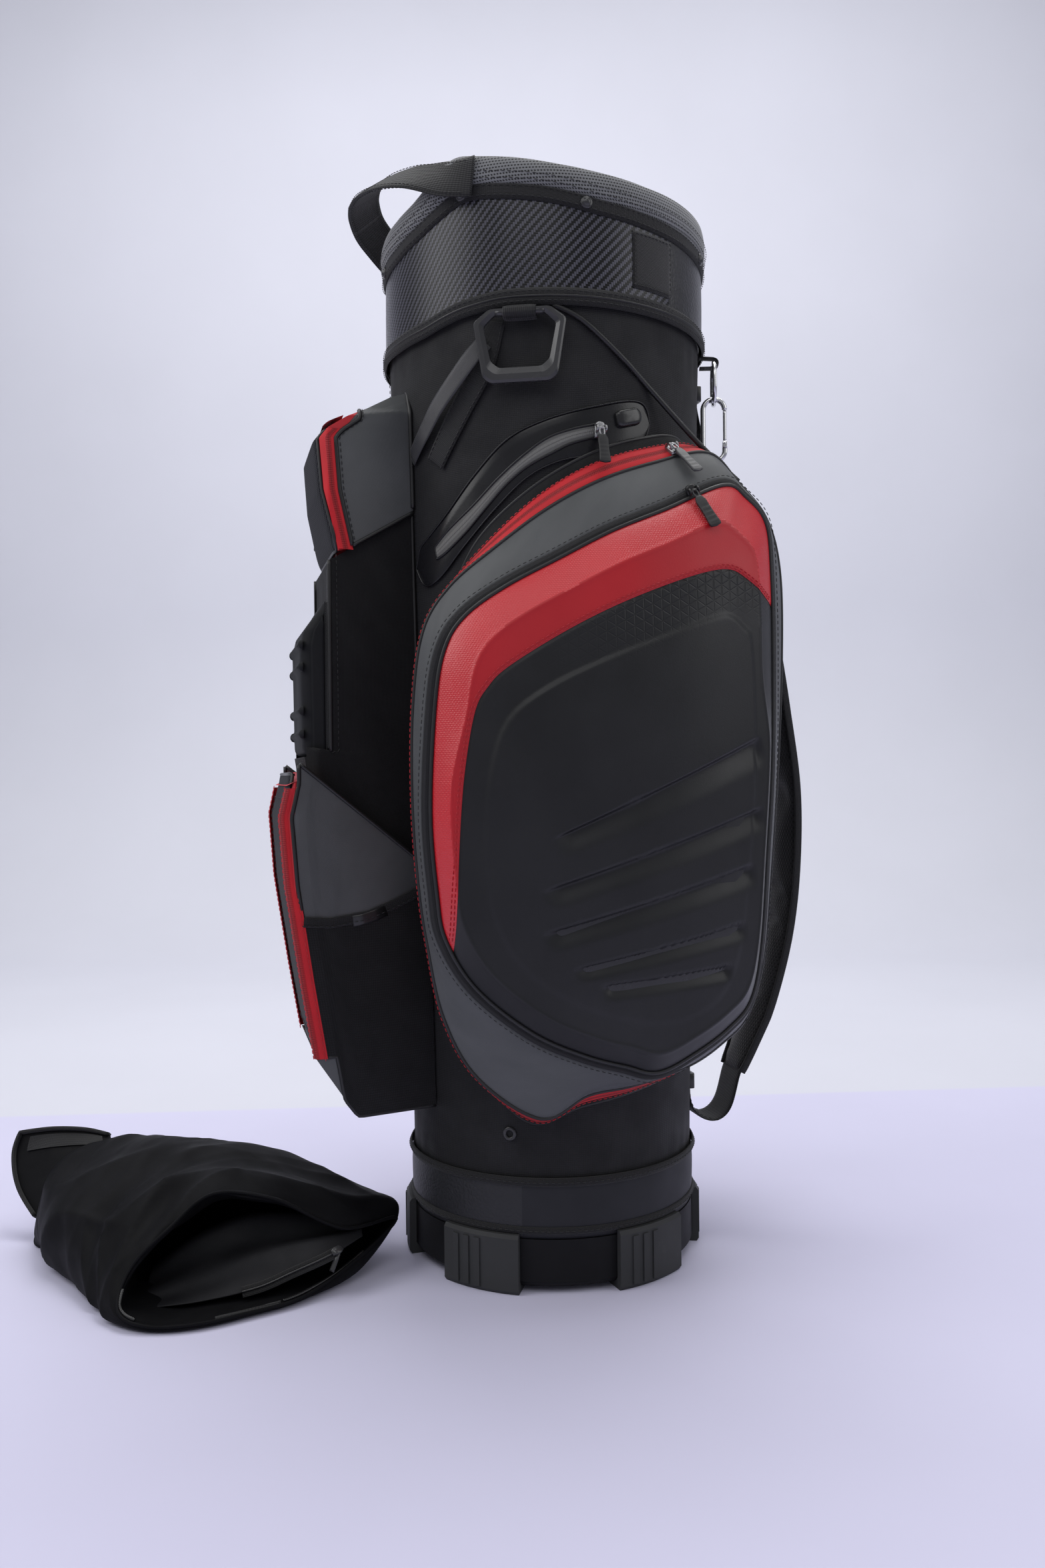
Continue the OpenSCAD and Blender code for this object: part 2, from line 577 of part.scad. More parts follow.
// ---- valuables pocket ----
welded_az = 66;
WELDED_PANEL = [[-92, 606], [-96, 590], [-86, 574], [-70, 580], [-48, 602], [-20, 630], [5, 652],
    [30, 664], [60, 671], [92, 684], [99, 700], [92, 716], [58, 708], [18, 696], [-12, 682],
    [-40, 656], [-66, 628]];
WELDED_ZIP = [[-76, 604], [-74, 594], [-64, 599], [-46, 613], [-28, 631], [-12, 647], [5, 660],
    [26, 671], [40, 678], [60, 684], [60, 694], [40, 689], [21, 682], [2, 669], [-19, 652],
    [-40, 633], [-64, 615]];
module valuables_panel() {
    color([0.07, 0.07, 0.08]) skin_patch(welded_az, WELDED_PANEL, 0.2, 0.7, 560, 730);
}
module valuables_zip() {
    color([0.35, 0.35, 0.34]) skin_patch(welded_az, WELDED_ZIP, 1.2, 1.4, 560, 730);
}
garage_az = 103;
module zip_garage() {
    outline = [[-12, -6], [-8, -8], [8, -7], [12, -3], [12, 3], [8, 7], [-8, 6], [-12, 4]];
    color([0.03, 0.03, 0.03]) rotate([0, 0, garage_az]) translate([0, -tube_r(702) - 1.3, 702])
        rotate([90, 12, 0]) linear_extrude(4) polygon(outline);
}

// Zip slider with a bar for its pull. Local frame: on the zip at the origin, outwards is -Y
slider_bar_y = 6;
slider_bar_r = 0.9;
module slider_shape(low = 7) {
    translate([-4.5, -3.4, -low]) cube([9, 3.4, low + 6]);
    for (x = [-4.3, 3.1]) translate([x, -slider_bar_y - 1.6, -1.6]) cube([1.2, slider_bar_y, 3.2]);
    translate([-4, -slider_bar_y, 0]) rotate([0, 90, 0]) cylinder(r = slider_bar_r, h = 8, $fn = 24);
}

// Pull that hangs from a slider's bar, its free end swung out by lift degrees
module pull_shape(length, lift) {
    translate([0, -slider_bar_y, 0]) rotate([-lift, 0, 0]) difference() {
        union() {
            translate([-2.7, 0, 0]) rotate([0, 90, 0]) cylinder(r = 2.2, h = 5.4, $fn = 32);
            translate([-2.7, -1.1, -7]) cube([5.4, 2.2, 6]);
            translate([-4.5, -1.2, -length]) cube([9, 2.4, length - 6.5]);
        }
        translate([-4, 0, 0]) rotate([0, 90, 0]) cylinder(r = slider_bar_r + 0.25, h = 8, $fn = 24);
    }
}

valuables_az = 92;
valuables_z = 689;
module at_valuables() {
    rotate([0, 0, valuables_az]) translate([0, -tube_r(valuables_z) - 3, valuables_z]) children();
}
module valuables_slider() { color([0.6, 0.6, 0.62]) at_valuables() slider_shape(); }
module valuables_pull() { color([0.04, 0.04, 0.045]) at_valuables() pull_shape(30, 0); }

// ---- side pockets ----
lid_line = closed_curve(LID_EDGE, outline_steps);
gusset_line = closed_curve(GUSSET_EDGE, outline_steps);
foot_line = closed_curve(WALL_FOOT, outline_steps);
wall_t = 3;
wall_clear = 1.6;                              // the wall's foot clears the welded pocket
wall_foot_out = on_tube(foot_line, wall_clear);
wall_foot_in = on_tube(grow(foot_line, -wall_t), wall_clear);
wall_top_out = on_bow(gusset_line, gusset_x - gap - 0.2);
wall_top_in = on_bow(grow(gusset_line, -wall_t), gusset_x - gap - 0.2);
// Share of the wall, from its foot, at which the red zip starts
zip_start = [for (i = [0 : len(foot_line) - 1])
    1 - min(0.75, red_zip_w / norm(wall_top_out[i] - wall_foot_out[i]))];
function wall_ring(a, b, back) = [for (i = [0 : len(a) - 1]) let (d = b[i] - a[i])
    a[i] + d * (zip_start[i] - back / norm(d))];
function side(rings, s) = s > 0 ? rings : mirrored(rings);

module side_wall(s) {
    ring_solid(side([wall_foot_out, wall_ring(wall_foot_out, wall_top_out, 0.3),
        wall_ring(wall_foot_in, wall_top_in, 0.3), wall_foot_in], s), s > 0);
}
module red_zip(s) {
    ring_solid(side([wall_ring(wall_foot_out, wall_top_out, 0), wall_top_out, wall_top_in,
        wall_ring(wall_foot_in, wall_top_in, 0)], s), s > 0);
}
module side_walls() { color([0.05, 0.05, 0.055]) { side_wall(1); side_wall(-1); } }
module red_side_zips() { color([0.8, 0.05, 0.08]) { red_zip(1); red_zip(-1); } }

lid_seat = lid_x - 5.3;
module gusset(s) {
    floor_in = shrink_to(gusset_line, LID_CENTRE, 0.93);
    points = side([on_bow([LID_CENTRE], gusset_x), on_bow([LID_CENTRE], gusset_x + gusset_t)], s);
    dome_solid(points[0][0], side([on_bow(grow(gusset_line, -1.5), gusset_x),
        on_bow(gusset_line, gusset_x + 1), on_bow(grow(lid_line, lid_zip_w + 0.5), lid_seat),
        on_bow(grow(lid_line, lid_zip_w - 2.5), lid_seat - 1),
        on_bow(floor_in, gusset_x + gusset_t)], s), points[1][0], s > 0);
}
module lid_zip(s) {
    outer = grow(lid_line, lid_zip_w);
    inner = grow(lid_line, 0.7);
    ring_solid(side([on_bow(outer, lid_seat + 0.3), on_bow(outer, lid_seat + 1.9),
        on_bow(inner, lid_seat + 1.9), on_bow(inner, lid_seat + 0.3)], s), s > 0);
}
// [share of the outline, share of the crown] from the lid's edge to its middle
LID_STEPS = [[1, 0], [0.93, 0.35], [0.85, 0.76], [0.73, 0.93], [0.4, 1]];
module lid(s) {
    n = len(LID_STEPS);
    top = [for (k = LID_STEPS) on_bow(shrink_to(lid_line, LID_CENTRE, k[0]), lid_x + k[1] * lid_crown)];
    below = [for (k = LID_STEPS)
        on_bow(shrink_to(lid_line, LID_CENTRE, k[0]), lid_x + k[1] * lid_crown - lid_t)];
    points = side([on_bow([LID_CENTRE], lid_x + lid_crown - lid_t),
        on_bow([LID_CENTRE], lid_x + lid_crown)], s);
    dome_solid(points[0][0], side(concat([for (i = [n - 1 : -1 : 0]) below[i]], top), s),
        points[1][0], s > 0);
}
module gusset_right() { color([0.3, 0.31, 0.32]) gusset(1); }
module gusset_left() { color([0.3, 0.31, 0.32]) gusset(-1); }
module lid_zip_right() { color([0.05, 0.05, 0.05]) lid_zip(1); }
module lid_zip_left() { color([0.05, 0.05, 0.05]) lid_zip(-1); }
module lid_right() { color([0.8, 0.06, 0.08]) lid(1); }
module lid_left() { color([0.8, 0.06, 0.08]) lid(-1); }

// A zip's place on the right side of the bag, mirrored for the left. The zip faces up by tilt and
// climbs towards the back by zip_climb
zip_climb = 22;
module on_side(s, p, tilt) {
    mirror([s < 0 ? 1 : 0, 0, 0]) translate(p) rotate([0, 0, 90]) rotate([-tilt, 0, 0])
        rotate([0, -zip_climb, 0]) children();
}
lid_slider_at = [lid_seat + 2.7 - side_bow * 72 * 72, 72, 637.5];
lid_pull_lift = 25;
red_slider_at = [tube_r_high, 66, 676.2];
red_tilt = 48;
red_pull_lift = 40;
module on_lid(s) { on_side(s, lid_slider_at, 0) children(); }
module on_red(s) { on_side(s, red_slider_at, red_tilt) children(); }
module lid_slider_right() { color([0.1, 0.1, 0.1]) on_lid(1) slider_shape(4); }
module lid_slider_left() { color([0.1, 0.1, 0.1]) on_lid(-1) slider_shape(4); }
module lid_pull_right() { color([0.04, 0.04, 0.04]) on_lid(1) pull_shape(36, lid_pull_lift); }
module lid_pull_left() { color([0.04, 0.04, 0.04]) on_lid(-1) pull_shape(36, lid_pull_lift); }
module red_slider_right() { color([0.7, 0.7, 0.72]) on_red(1) slider_shape(); }
module red_slider_left() { color([0.7, 0.7, 0.72]) on_red(-1) slider_shape(); }
module red_pull_right() { color([0.4, 0.4, 0.4]) on_red(1) pull_shape(36, red_pull_lift - red_tilt); }
module red_pull_left() { color([0.4, 0.4, 0.4]) on_red(-1) pull_shape(36, red_pull_lift - red_tilt); }

// ---- front pocket column ----
function moved(line, d) = [for (p = line) [p[0] + d, p[1]]];
function turned(line) = [for (i = [len(line) - 1 : -1 : 0]) line[i]];
function ball_top_at(y) = ball_top_z - ball_fall * (y - ball_top_y);
mid_top_z = 593;
mid_rise = 0.61;                               // slope of the middle pocket's top towards the tube
function mid_top_at(y) = mid_top_z + mid_rise * (y - mid_front);
inside_tube = -100;
zip_back = cover_t + 0.4 + front_zip_w;

// Plan of a pocket that widens from the tube to its front
function plan(root, front, y, wall) = [[-root + wall, inside_tube], [-front + wall, y + 14],
    [-front + 10, y + wall], [front - 10, y + wall], [front - wall, y + 14], [root - wall, inside_tube]];
module pocket_block(root, front, y, wall, outline) {
    intersection() {
        linear_extrude(tube_top) polygon(plan(root, front, y, wall));
        across(front + 20, outline);
    }
}

ball_y = -245;
ball_sill = BALL_FRONT[0][1] + 1;              // height at which the cover and its zip start
BALL_CHIN = [[inside_tube, ball_floor], [-182, ball_floor], [-193, 156]];
function ball_front(d) = concat([[BALL_FRONT[0][0] + d, ball_sill]],
    moved([for (i = [1 : len(BALL_FRONT) - 1]) BALL_FRONT[i]], d),
    [[ball_top_y + d, ball_top_at(ball_top_y + d)]]);
module ball_part(near, far) {
    intersection() {
        linear_extrude(tube_top) polygon(plan(ball_root, ball_half, ball_y, 0));
        across(ball_half, concat(ball_front(near), turned(ball_front(far))));
    }
}
module ball_shell() {
    color([0.3, 0.31, 0.32]) difference() {
        pocket_block(ball_root, ball_half, ball_y, 0, concat(BALL_CHIN,
            [[BALL_FRONT[0][0] + 0.2, ball_sill - gap], [BALL_FRONT[0][0] + zip_back, ball_sill - gap]],
            ball_front(zip_back), [[inside_tube, ball_top_at(inside_tube)]]));
        pocket_block(ball_root, ball_half, ball_y - 30, pocket_wall, [
            [inside_tube + 1, ball_floor + pocket_wall], [-180, ball_floor + pocket_wall],
            [-190, 159], [-206, ball_sill - pocket_wall - 1], [-206, ball_sill + 5], [-260, ball_sill + 5],
            [-260, 404], [-212, 404], [-204, ball_top_at(-204) - pocket_wall],
            [inside_tube + 1, ball_top_at(inside_tube) - pocket_wall - 1]]);
        cone_solid(0.35, 100, 500);
    }
}
module ball_zip() {
    color([0.8, 0.05, 0.08]) difference() {
        ball_part(cover_t + 0.4, zip_back - 0.3);
        pocket_block(ball_root, ball_half, ball_y - 30, pocket_wall,
            [[-150, ball_sill + 5], [-260, ball_sill + 5], [-260, 404], [-150, 404]]);
    }
}
module ball_cover() { color([0.14, 0.14, 0.15]) ball_part(0, cover_t); }
module slip_pockets() {
    color([0.05, 0.05, 0.055]) for (m = [0, 1]) mirror([m, 0, 0]) difference() {
        intersection() {
            linear_extrude(tube_top) polygon([[ball_root + 0.4, inside_tube],
                [ball_root + 0.4 + ball_slope * 124, inside_tube - 124],
                [ball_root + 2.8 + ball_slope * 124, inside_tube - 124], [ball_root + 2.8, inside_tube]]);
            across(120, [[-110, 143], [-180, 143], [-192, 164], [-203, 200], [-217, 300], [-217, 305],
                [-160, 309], [-110, 328]]);
        }
        cone_solid(0.5, 100, 500);
    }
}
ball_slope = (ball_half - ball_root) / (inside_tube - ball_y - 14);
module at_ball() {
    translate([-ball_root - ball_slope * 127 - 0.5, inside_tube - 127, 330])
        rotate([0, 0, -90 - atan(ball_slope)]) children();
}
module ball_slider() { color([0.7, 0.7, 0.72]) at_ball() slider_shape(); }
module ball_pull() { color([0.4, 0.4, 0.4]) at_ball() pull_shape(32, 0); }

mid_in = 46;
module mid_panel() {
    wedge_top = mid_cover_low - 0.5;
    color([0.05, 0.05, 0.055]) difference() {
        pocket_block(column_root, column_half, mid_front - 25, 0,
            [[inside_tube, ball_top_at(inside_tube) + gap], [-219, ball_top_at(-219) + gap],
                [-221, wedge_top], [mid_front, wedge_top],
                [mid_front, mid_top_z], [inside_tube, mid_top_at(inside_tube)]]);
        pocket_block(column_root, column_half, mid_front - 25, pocket_wall,
            [[inside_tube + 1, ball_top_at(inside_tube) + 5], [mid_front + 3, ball_top_at(mid_front) + 5],
                [mid_front + 3, mid_top_z - 3], [inside_tube + 1, mid_top_at(inside_tube) - 4]]);
        translate([-mid_in, -210, mid_cover_low + 6]) cube([2 * mid_in, 62, 112]);
        cone_solid(0.35, 280, 700);
    }
}
module mid_zip() {
    color([0.05, 0.05, 0.05]) difference() {
        translate([-mid_in - 6, mid_front - 3.6, mid_cover_low + 1])
            cube([2 * mid_in + 12, 3.3, mid_cover_high - mid_cover_low - 1]);
        translate([-mid_in, mid_front - 5, mid_cover_low + 6]) cube([2 * mid_in, 6, 112]);
    }
}
module mid_cover() {
    back = mid_front - 4;
    color([0.07, 0.07, 0.08]) {
        difference() {
            across(mid_in + 5, [[back, mid_cover_low], [mid_cover_y, mid_cover_low],
                [mid_cover_y - 1, 524], [mid_cover_y + 2, 537], [back - 3, 555], [back, mid_cover_high]]);
            across(mid_in + 5 - pocket_wall, [[back + 1, mid_cover_low + pocket_wall],
                [mid_cover_y + pocket_wall, mid_cover_low + pocket_wall],
                [mid_cover_y + pocket_wall, 523], [mid_cover_y + 5, 534], [back + 1, 551]]);
        }
        for (z = [452, 471, 507, 525]) translate([-40, mid_cover_y - 0.5, z]) rotate([0, 90, 0])
            cylinder(r = 2.5, h = 80, $fn = 32);
    }
}

accessory_y = -214;
accessory_foot = 0.4;
function accessory_low(y) = max(601, mid_top_at(y) + accessory_foot);
function accessory_front(d) = concat(
    [[ACCESSORY_FRONT[0][0] + d, accessory_low(ACCESSORY_FRONT[0][0] + d)]],
    moved([ACCESSORY_FRONT[1], ACCESSORY_FRONT[2], [-204, 700]], d), [[-190 + d, 707 + 0.62 * d]]);
function accessory_profile(d) = concat([[inside_tube, mid_top_at(inside_tube) + accessory_foot]],
    accessory_front(d), [[-145, 734.9], [inside_tube, 752]]);
ACCESSORY_FACE = [[-75, 590], [75, 590], [75, 690], [66, 705], [44, 722], [30, 745], [-30, 745],
    [-44, 722], [-66, 705], [-75, 690]];
module face_cut() { rotate([90, 0, 0]) linear_extrude(300) polygon(ACCESSORY_FACE); }
module accessory_part(near, far) {
    intersection() {
        linear_extrude(tube_top) polygon(plan(column_root, column_half + 4, accessory_y, 0));
        across(80, concat(accessory_front(near), turned(accessory_front(far))));
        face_cut();
    }
}
ACCESSORY_HOLLOW = [[-128, 650], [-184, 612], [-230, 612], [-230, 688], [-190, 692], [-140, 720],
    [-128, 724]];
module accessory_shell() {
    color([0.3, 0.31, 0.32]) difference() {
        intersection() {
            pocket_block(column_root, column_half + 4, accessory_y, 0, accessory_profile(zip_back));
            face_cut();
        }
        intersection() {
            pocket_block(column_root - 2, column_half + 2, accessory_y - 30, pocket_wall, ACCESSORY_HOLLOW);
            translate([0, 0, -8]) face_cut();
        }
        cone_solid(0.35, 560, tube_top);
    }
}
module accessory_zip() {
    color([0.8, 0.05, 0.08]) difference() {
        accessory_part(cover_t + 0.4, zip_back - 0.3);
        pocket_block(column_root, column_half + 2, accessory_y - 30, pocket_wall + 2,
            [[-150, 612], [-230, 612], [-230, 688], [-150, 688]]);
    }
}
module accessory_cover() { color([0.14, 0.14, 0.15]) accessory_part(0, cover_t); }
accessory_slope = (column_half + 4 - column_root) / (inside_tube - accessory_y - 14);
module at_accessory() {
    translate([-column_root - accessory_slope * 97 - 0.5, inside_tube - 97, 650])
        rotate([0, 0, -90 - atan(accessory_slope)]) children();
}
module accessory_slider() { color([0.7, 0.7, 0.72]) at_accessory() slider_shape(); }
module accessory_pull() { color([0.4, 0.4, 0.4]) at_accessory() pull_shape(28, 0); }

// ---- shoulder strap ----
// Outline of a strip of even thickness along a line
function strip(p, t) = let (n = len(p), q = [for (i = [0 : n - 1])
    let (d = unit(p[min(i + 1, n - 1)] - p[max(i - 1, 0)])) [d[1], -d[0]] * t / 2])
    concat([for (i = [0 : n - 1]) p[i] + q[i]], [for (i = [n - 1 : -1 : 0]) p[i] - q[i]]);
web_t = 2.4;
pad_curve = smooth_line(PAD_LINE, 2);
pad_head = pad_curve[0] + unit(pad_curve[0] - pad_curve[1]) * 0.4;
pad_tail = pad_curve[len(pad_curve) - 1]
    + unit(pad_curve[len(pad_curve) - 1] - pad_curve[len(pad_curve) - 2]) * 0.4;
clip_t = 2.5;
clip_h = 14;
anchor_low_z = 134;                            // height of the webbing's lower end on the tube
anchor_high_z = tube_top - 25;
anchor_low_y = tube_r(anchor_low_z + 10) + 0.4 + web_t / 2;
anchor_high_y = tube_r(anchor_high_z + 9) + 0.4 + web_t / 2;
// The webbing's loop under the pad: [distance out from its lower end, height above it]
WEB_LOOP = [[42, -24], [32, -35], [19, -36], [7, -28], [1, -15], [0, 10]];
module strap_pad() { color([0.05, 0.05, 0.055]) across(pad_w / 2, strip(pad_curve, pad_t)); }
module strap_webbing() {
    color([0.03, 0.03, 0.035]) {
        across(web_w / 2, strip(smooth_line(concat([pad_tail],
            [for (p = WEB_LOOP) [anchor_low_y + p[0], anchor_low_z + p[1]]]), 2), web_t));
        across(web_w / 2, strip(smooth_line([pad_head, [anchor_high_y + 3.5, anchor_high_z - 28],
            [anchor_high_y, anchor_high_z - 9], [anchor_high_y, anchor_high_z + 9]], 2), web_t));
    }
}
// Clip round the webbing's end on the tube
module web_clip(y, z) {
    translate([-web_w / 2 - 3, y + web_t / 2 + 0.3, z - clip_h / 2]) cube([web_w + 6, clip_t, clip_h]);
    for (x = [-web_w / 2 - 3, web_w / 2 + 0.5]) translate([x, y - web_t / 2, z - clip_h / 2])
        cube([clip_t, web_t + 0.8, clip_h]);
}
module strap_hardware() {
    color([0.05, 0.05, 0.05]) {
        web_clip(anchor_low_y, anchor_low_z + 2);
        web_clip(anchor_high_y, anchor_high_z);
    }
}

// ---- rain hood, taken off ----
HOOD_STEPS = [[0.97, 0], [1, 12], [0.98, 34], [0.84, 62], [0.6, 82], [0.3, 90]];
module rain_hood() {
    line = closed_curve(HOOD_FOOT, 3);
    color([0.04, 0.04, 0.045]) dome_solid([HOOD_CENTRE[0], HOOD_CENTRE[1], 0],
        [for (k = HOOD_STEPS) [for (p = shrink_to(line, HOOD_CENTRE, k[0])) [p[0], p[1], k[1]]]],
        [HOOD_CENTRE[0], HOOD_CENTRE[1], 92], true);
}

base_cup();
foot_lugs();
lower_band();
binding_tapes();
body_shell();
tube_liner();
spine_stays();
divider_panels();
divider_top();
cuff_ring();
collar_band();
rim_pad();
snap_studs();
collar_patches();
grab_handle();
ring_tabs();
towel_ring();
satin_strap();
valuables_panel();
valuables_zip();
zip_garage();
valuables_slider();
valuables_pull();
side_walls();
red_side_zips();
gusset_right();
gusset_left();
lid_zip_right();
lid_zip_left();
lid_right();
lid_left();
red_slider_right();
red_slider_left();
red_pull_right();
red_pull_left();
lid_slider_right();
lid_slider_left();
lid_pull_right();
lid_pull_left();
accessory_shell();
accessory_zip();
accessory_cover();
accessory_slider();
accessory_pull();
mid_panel();
mid_zip();
mid_cover();
ball_shell();
ball_zip();
ball_cover();
ball_slider();
ball_pull();
slip_pockets();
strap_pad();
strap_webbing();
strap_hardware();
oval_ring();
carabiner();
carabiner_gate();
rain_hood();
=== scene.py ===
"""Looks of the golf cart bag, in millimetres scaled to the frame's metres."""

import math

import bpy
import numpy as np
from mathutils import Matrix, Vector


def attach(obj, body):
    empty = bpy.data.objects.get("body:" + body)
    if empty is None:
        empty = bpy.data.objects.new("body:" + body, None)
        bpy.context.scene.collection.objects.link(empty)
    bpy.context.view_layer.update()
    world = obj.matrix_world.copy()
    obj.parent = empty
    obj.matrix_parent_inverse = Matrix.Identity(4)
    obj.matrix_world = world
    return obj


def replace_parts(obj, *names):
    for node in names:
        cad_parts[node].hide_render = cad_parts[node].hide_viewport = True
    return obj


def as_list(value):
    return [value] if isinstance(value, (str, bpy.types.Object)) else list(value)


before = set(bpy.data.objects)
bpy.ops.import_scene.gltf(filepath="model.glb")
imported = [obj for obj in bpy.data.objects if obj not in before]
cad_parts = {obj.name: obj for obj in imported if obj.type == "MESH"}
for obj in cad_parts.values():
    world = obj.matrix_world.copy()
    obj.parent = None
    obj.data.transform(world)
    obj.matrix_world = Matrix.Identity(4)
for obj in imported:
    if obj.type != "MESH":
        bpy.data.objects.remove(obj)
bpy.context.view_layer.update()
MM = 0.001
pi, sin, cos, rad = math.pi, math.sin, math.cos, math.radians

# ---------------------------------------------------------------- camera, light, stage
scene = bpy.context.scene
scene.view_settings.view_transform = "Standard"
turn = Matrix.Rotation(rad(75), 3, "Z")
pitch, roll = rad(0.38), rad(-0.61)
ahead = turn @ Vector((0, cos(pitch), -sin(pitch)))
level = turn @ Vector((1, 0, 0))
over = level.cross(ahead)
right = level * cos(roll) + over * sin(roll)
upward = over * cos(roll) - level * sin(roll)
cam_data = bpy.data.cameras.new("camera")
cam_data.sensor_width = 36
cam_data.lens = 28.0
cam_data.clip_start = 0.02
cam = bpy.data.objects.new("camera", cam_data)
scene.collection.objects.link(cam)
basis = Matrix((right, upward, -ahead)).transposed()
cam.matrix_world = Matrix.Translation(turn @ Vector((-0.023, -1.099, 0.416))) @ basis.to_4x4()
scene.camera = cam


# ---------------------------------------------------------------- materials
class Mat:
    """A node material written as short calls."""

    def __init__(self, name, rough=0.6, metal=0.0, sheen=0.0, spec=0.5, coat=0.0, coat_rough=0.2):
        self.m = bpy.data.materials.new(name)
        self.m.use_nodes = True
        self.t = self.m.node_tree
        self.b = self.t.nodes["Principled BSDF"]
        for k, v in (("Roughness", rough), ("Metallic", metal), ("Sheen Weight", sheen),
                     ("Specular IOR Level", spec), ("Coat Weight", coat), ("Coat Roughness", coat_rough)):
            self.b.inputs[k].default_value = v

    def put(self, socket, v):
        if isinstance(v, bpy.types.NodeSocket):
            self.t.links.new(v, socket)
        elif isinstance(v, (tuple, list)) and len(v) == 3 and socket.type == "RGBA":
            socket.default_value = (*v, 1)
        else:
            socket.default_value = v

    def node(self, kind, ins=(), out=0, **props):
        n = self.t.nodes.new("ShaderNode" + kind)
        for k, v in props.items():
            setattr(n, k, v)
        for k, v in dict(ins).items():
            self.put(n.inputs[k], v)
        return n.outputs[out]

    def f(self, op, a, b=0.0, c=0.0):
        return self.node("Math", {0: a, 1: b, 2: c}, operation=op)

    def coords(self, kind, scale=1.0):
        """x, y, z sockets of a texture coordinate, in units of 1/scale metres."""
        v = self.node("TexCoord", out={"UV": 2, "Object": 3}[kind])
        s = self.node("Mapping", {"Vector": v, "Scale": (scale,) * 3})
        n = self.t.nodes.new("ShaderNodeSeparateXYZ")
        self.t.links.new(s, n.inputs[0])
        return s, n.outputs[0], n.outputs[1], n.outputs[2]

    def noise(self, vec, scale, detail=3.0, rough=0.5):
        return self.node("TexNoise", {"Vector": vec, "Scale": scale, "Detail": detail, "Roughness": rough})

    def mix(self, fac, a, b):
        n = self.t.nodes.new("ShaderNodeMix")
        n.data_type = "RGBA"
        self.put(n.inputs[0], fac)
        self.put(n.inputs[6], a)
        self.put(n.inputs[7], b)
        return n.outputs[2]

    def ramp(self, v, lo, hi, a=0.0, b=1.0):
        return self.node("MapRange", {"Value": v, "From Min": lo, "From Max": hi, "To Min": a, "To Max": b})

    def color(self, v):
        self.put(self.b.inputs["Base Color"], v)
        return self

    def rough(self, v):
        self.put(self.b.inputs["Roughness"], v)
        return self

    def bump(self, *heights, strength=0.6):
        """heights: (socket, distance in mm) pairs, stacked."""
        normal = None
        for h, d in heights:
            ins = {"Height": h, "Distance": d * MM, "Strength": strength}
            if normal is not None:
                ins["Normal"] = normal
            normal = self.node("Bump", ins)
        self.put(self.b.inputs["Normal"], normal)
        return self


MATS = {}


def varied(m, rgb, vec, scale=14, amount=0.25, lift=0.0):
    """The colour, a little lighter and darker over the surface."""
    n = m.noise(vec, scale, 4)
    lo = tuple(c * (1 - amount) for c in rgb)
    hi = tuple(min(1, c * (1 + amount) + lift) for c in rgb)
    return m.mix(m.ramp(n, 0.3, 0.7), lo, hi)


def weave_mat(name, rgb, pitch=1.1, depth=0.25, rough=0.75, sheen=0.15, coord="UV", contrast=0.5, spec=0.4,
              wrinkle=0.0):
    """Plain weave: over and under threads of a given pitch in mm."""
    m = Mat(name, rough, sheen=sheen, spec=spec)
    vec, x, y, z = m.coords(coord, 1000)
    if coord == "Object":
        y = z
    px, py = m.f("MULTIPLY", x, pi / pitch), m.f("MULTIPLY", y, pi / pitch)
    over = m.f("MULTIPLY", m.f("SINE", px), m.f("SINE", py))
    thread = m.f("ABSOLUTE", over)
    base = varied(m, rgb, vec, 0.02, 0.18, 0.004)
    dark = tuple(c * (1 - contrast) for c in rgb)
    m.color(m.mix(m.ramp(thread, 0.0, 0.5), dark, base))
    big = m.noise(vec, 0.035, 3)
    parts = [(thread, depth)]
    if wrinkle:
        parts.insert(0, (big, wrinkle))
    m.rough(m.ramp(big, 0.35, 0.65, rough - 0.06, rough + 0.06))
    return m.bump(*parts).m


def twill_mat(name, rgb, cell=1.5, lift=4.0, rough=0.32, slant=1, coord="UV", spec=0.5, coat=0.2):
    """Two-over-two twill with glossy threads, as on carbon-look vinyl; the warp threads are painted lighter,
    most along their middles: a painted highlight over the two-tone of the weave.
    """
    m = Mat(name, rough, spec=spec, coat=coat, coat_rough=0.25)
    vec, x, y, z = m.coords(coord, 1000 / cell)
    if coord == "Object":
        y = z
    i, j = m.f("FLOOR", x), m.f("FLOOR", y)
    step = m.f("ADD", i, m.f("MULTIPLY", j, slant))
    k = m.f("FLOORED_MODULO", step, 4.0)
    warp = m.f("LESS_THAN", k, 1.5)
    fx, fy = m.f("FRACT", x), m.f("FRACT", y)
    run = m.f("ADD", m.f("MULTIPLY", warp, fx), m.f("MULTIPLY", m.f("SUBTRACT", 1.0, warp), fy))
    side = m.f("SINE", m.f("MULTIPLY", run, pi))
    # painted highlight: the warp threads are painted up to lift times lighter, brightest along each thread's
    # middle
    hi = tuple(min(1, c * lift) for c in rgb)
    painted_thread_highlight = m.f("MULTIPLY", warp, m.ramp(side, 0.0, 1.0, 0.35, 1.0))
    spread = m.noise(vec, 0.012, 2)
    m.color(m.mix(m.f("MULTIPLY", painted_thread_highlight, m.ramp(spread, 0.3, 0.7, 0.7, 1.0)), rgb, hi))
    m.rough(m.f("ADD", m.f("MULTIPLY", warp, -0.06), rough))
    return m.bump((side, 0.12), strength=0.5).m


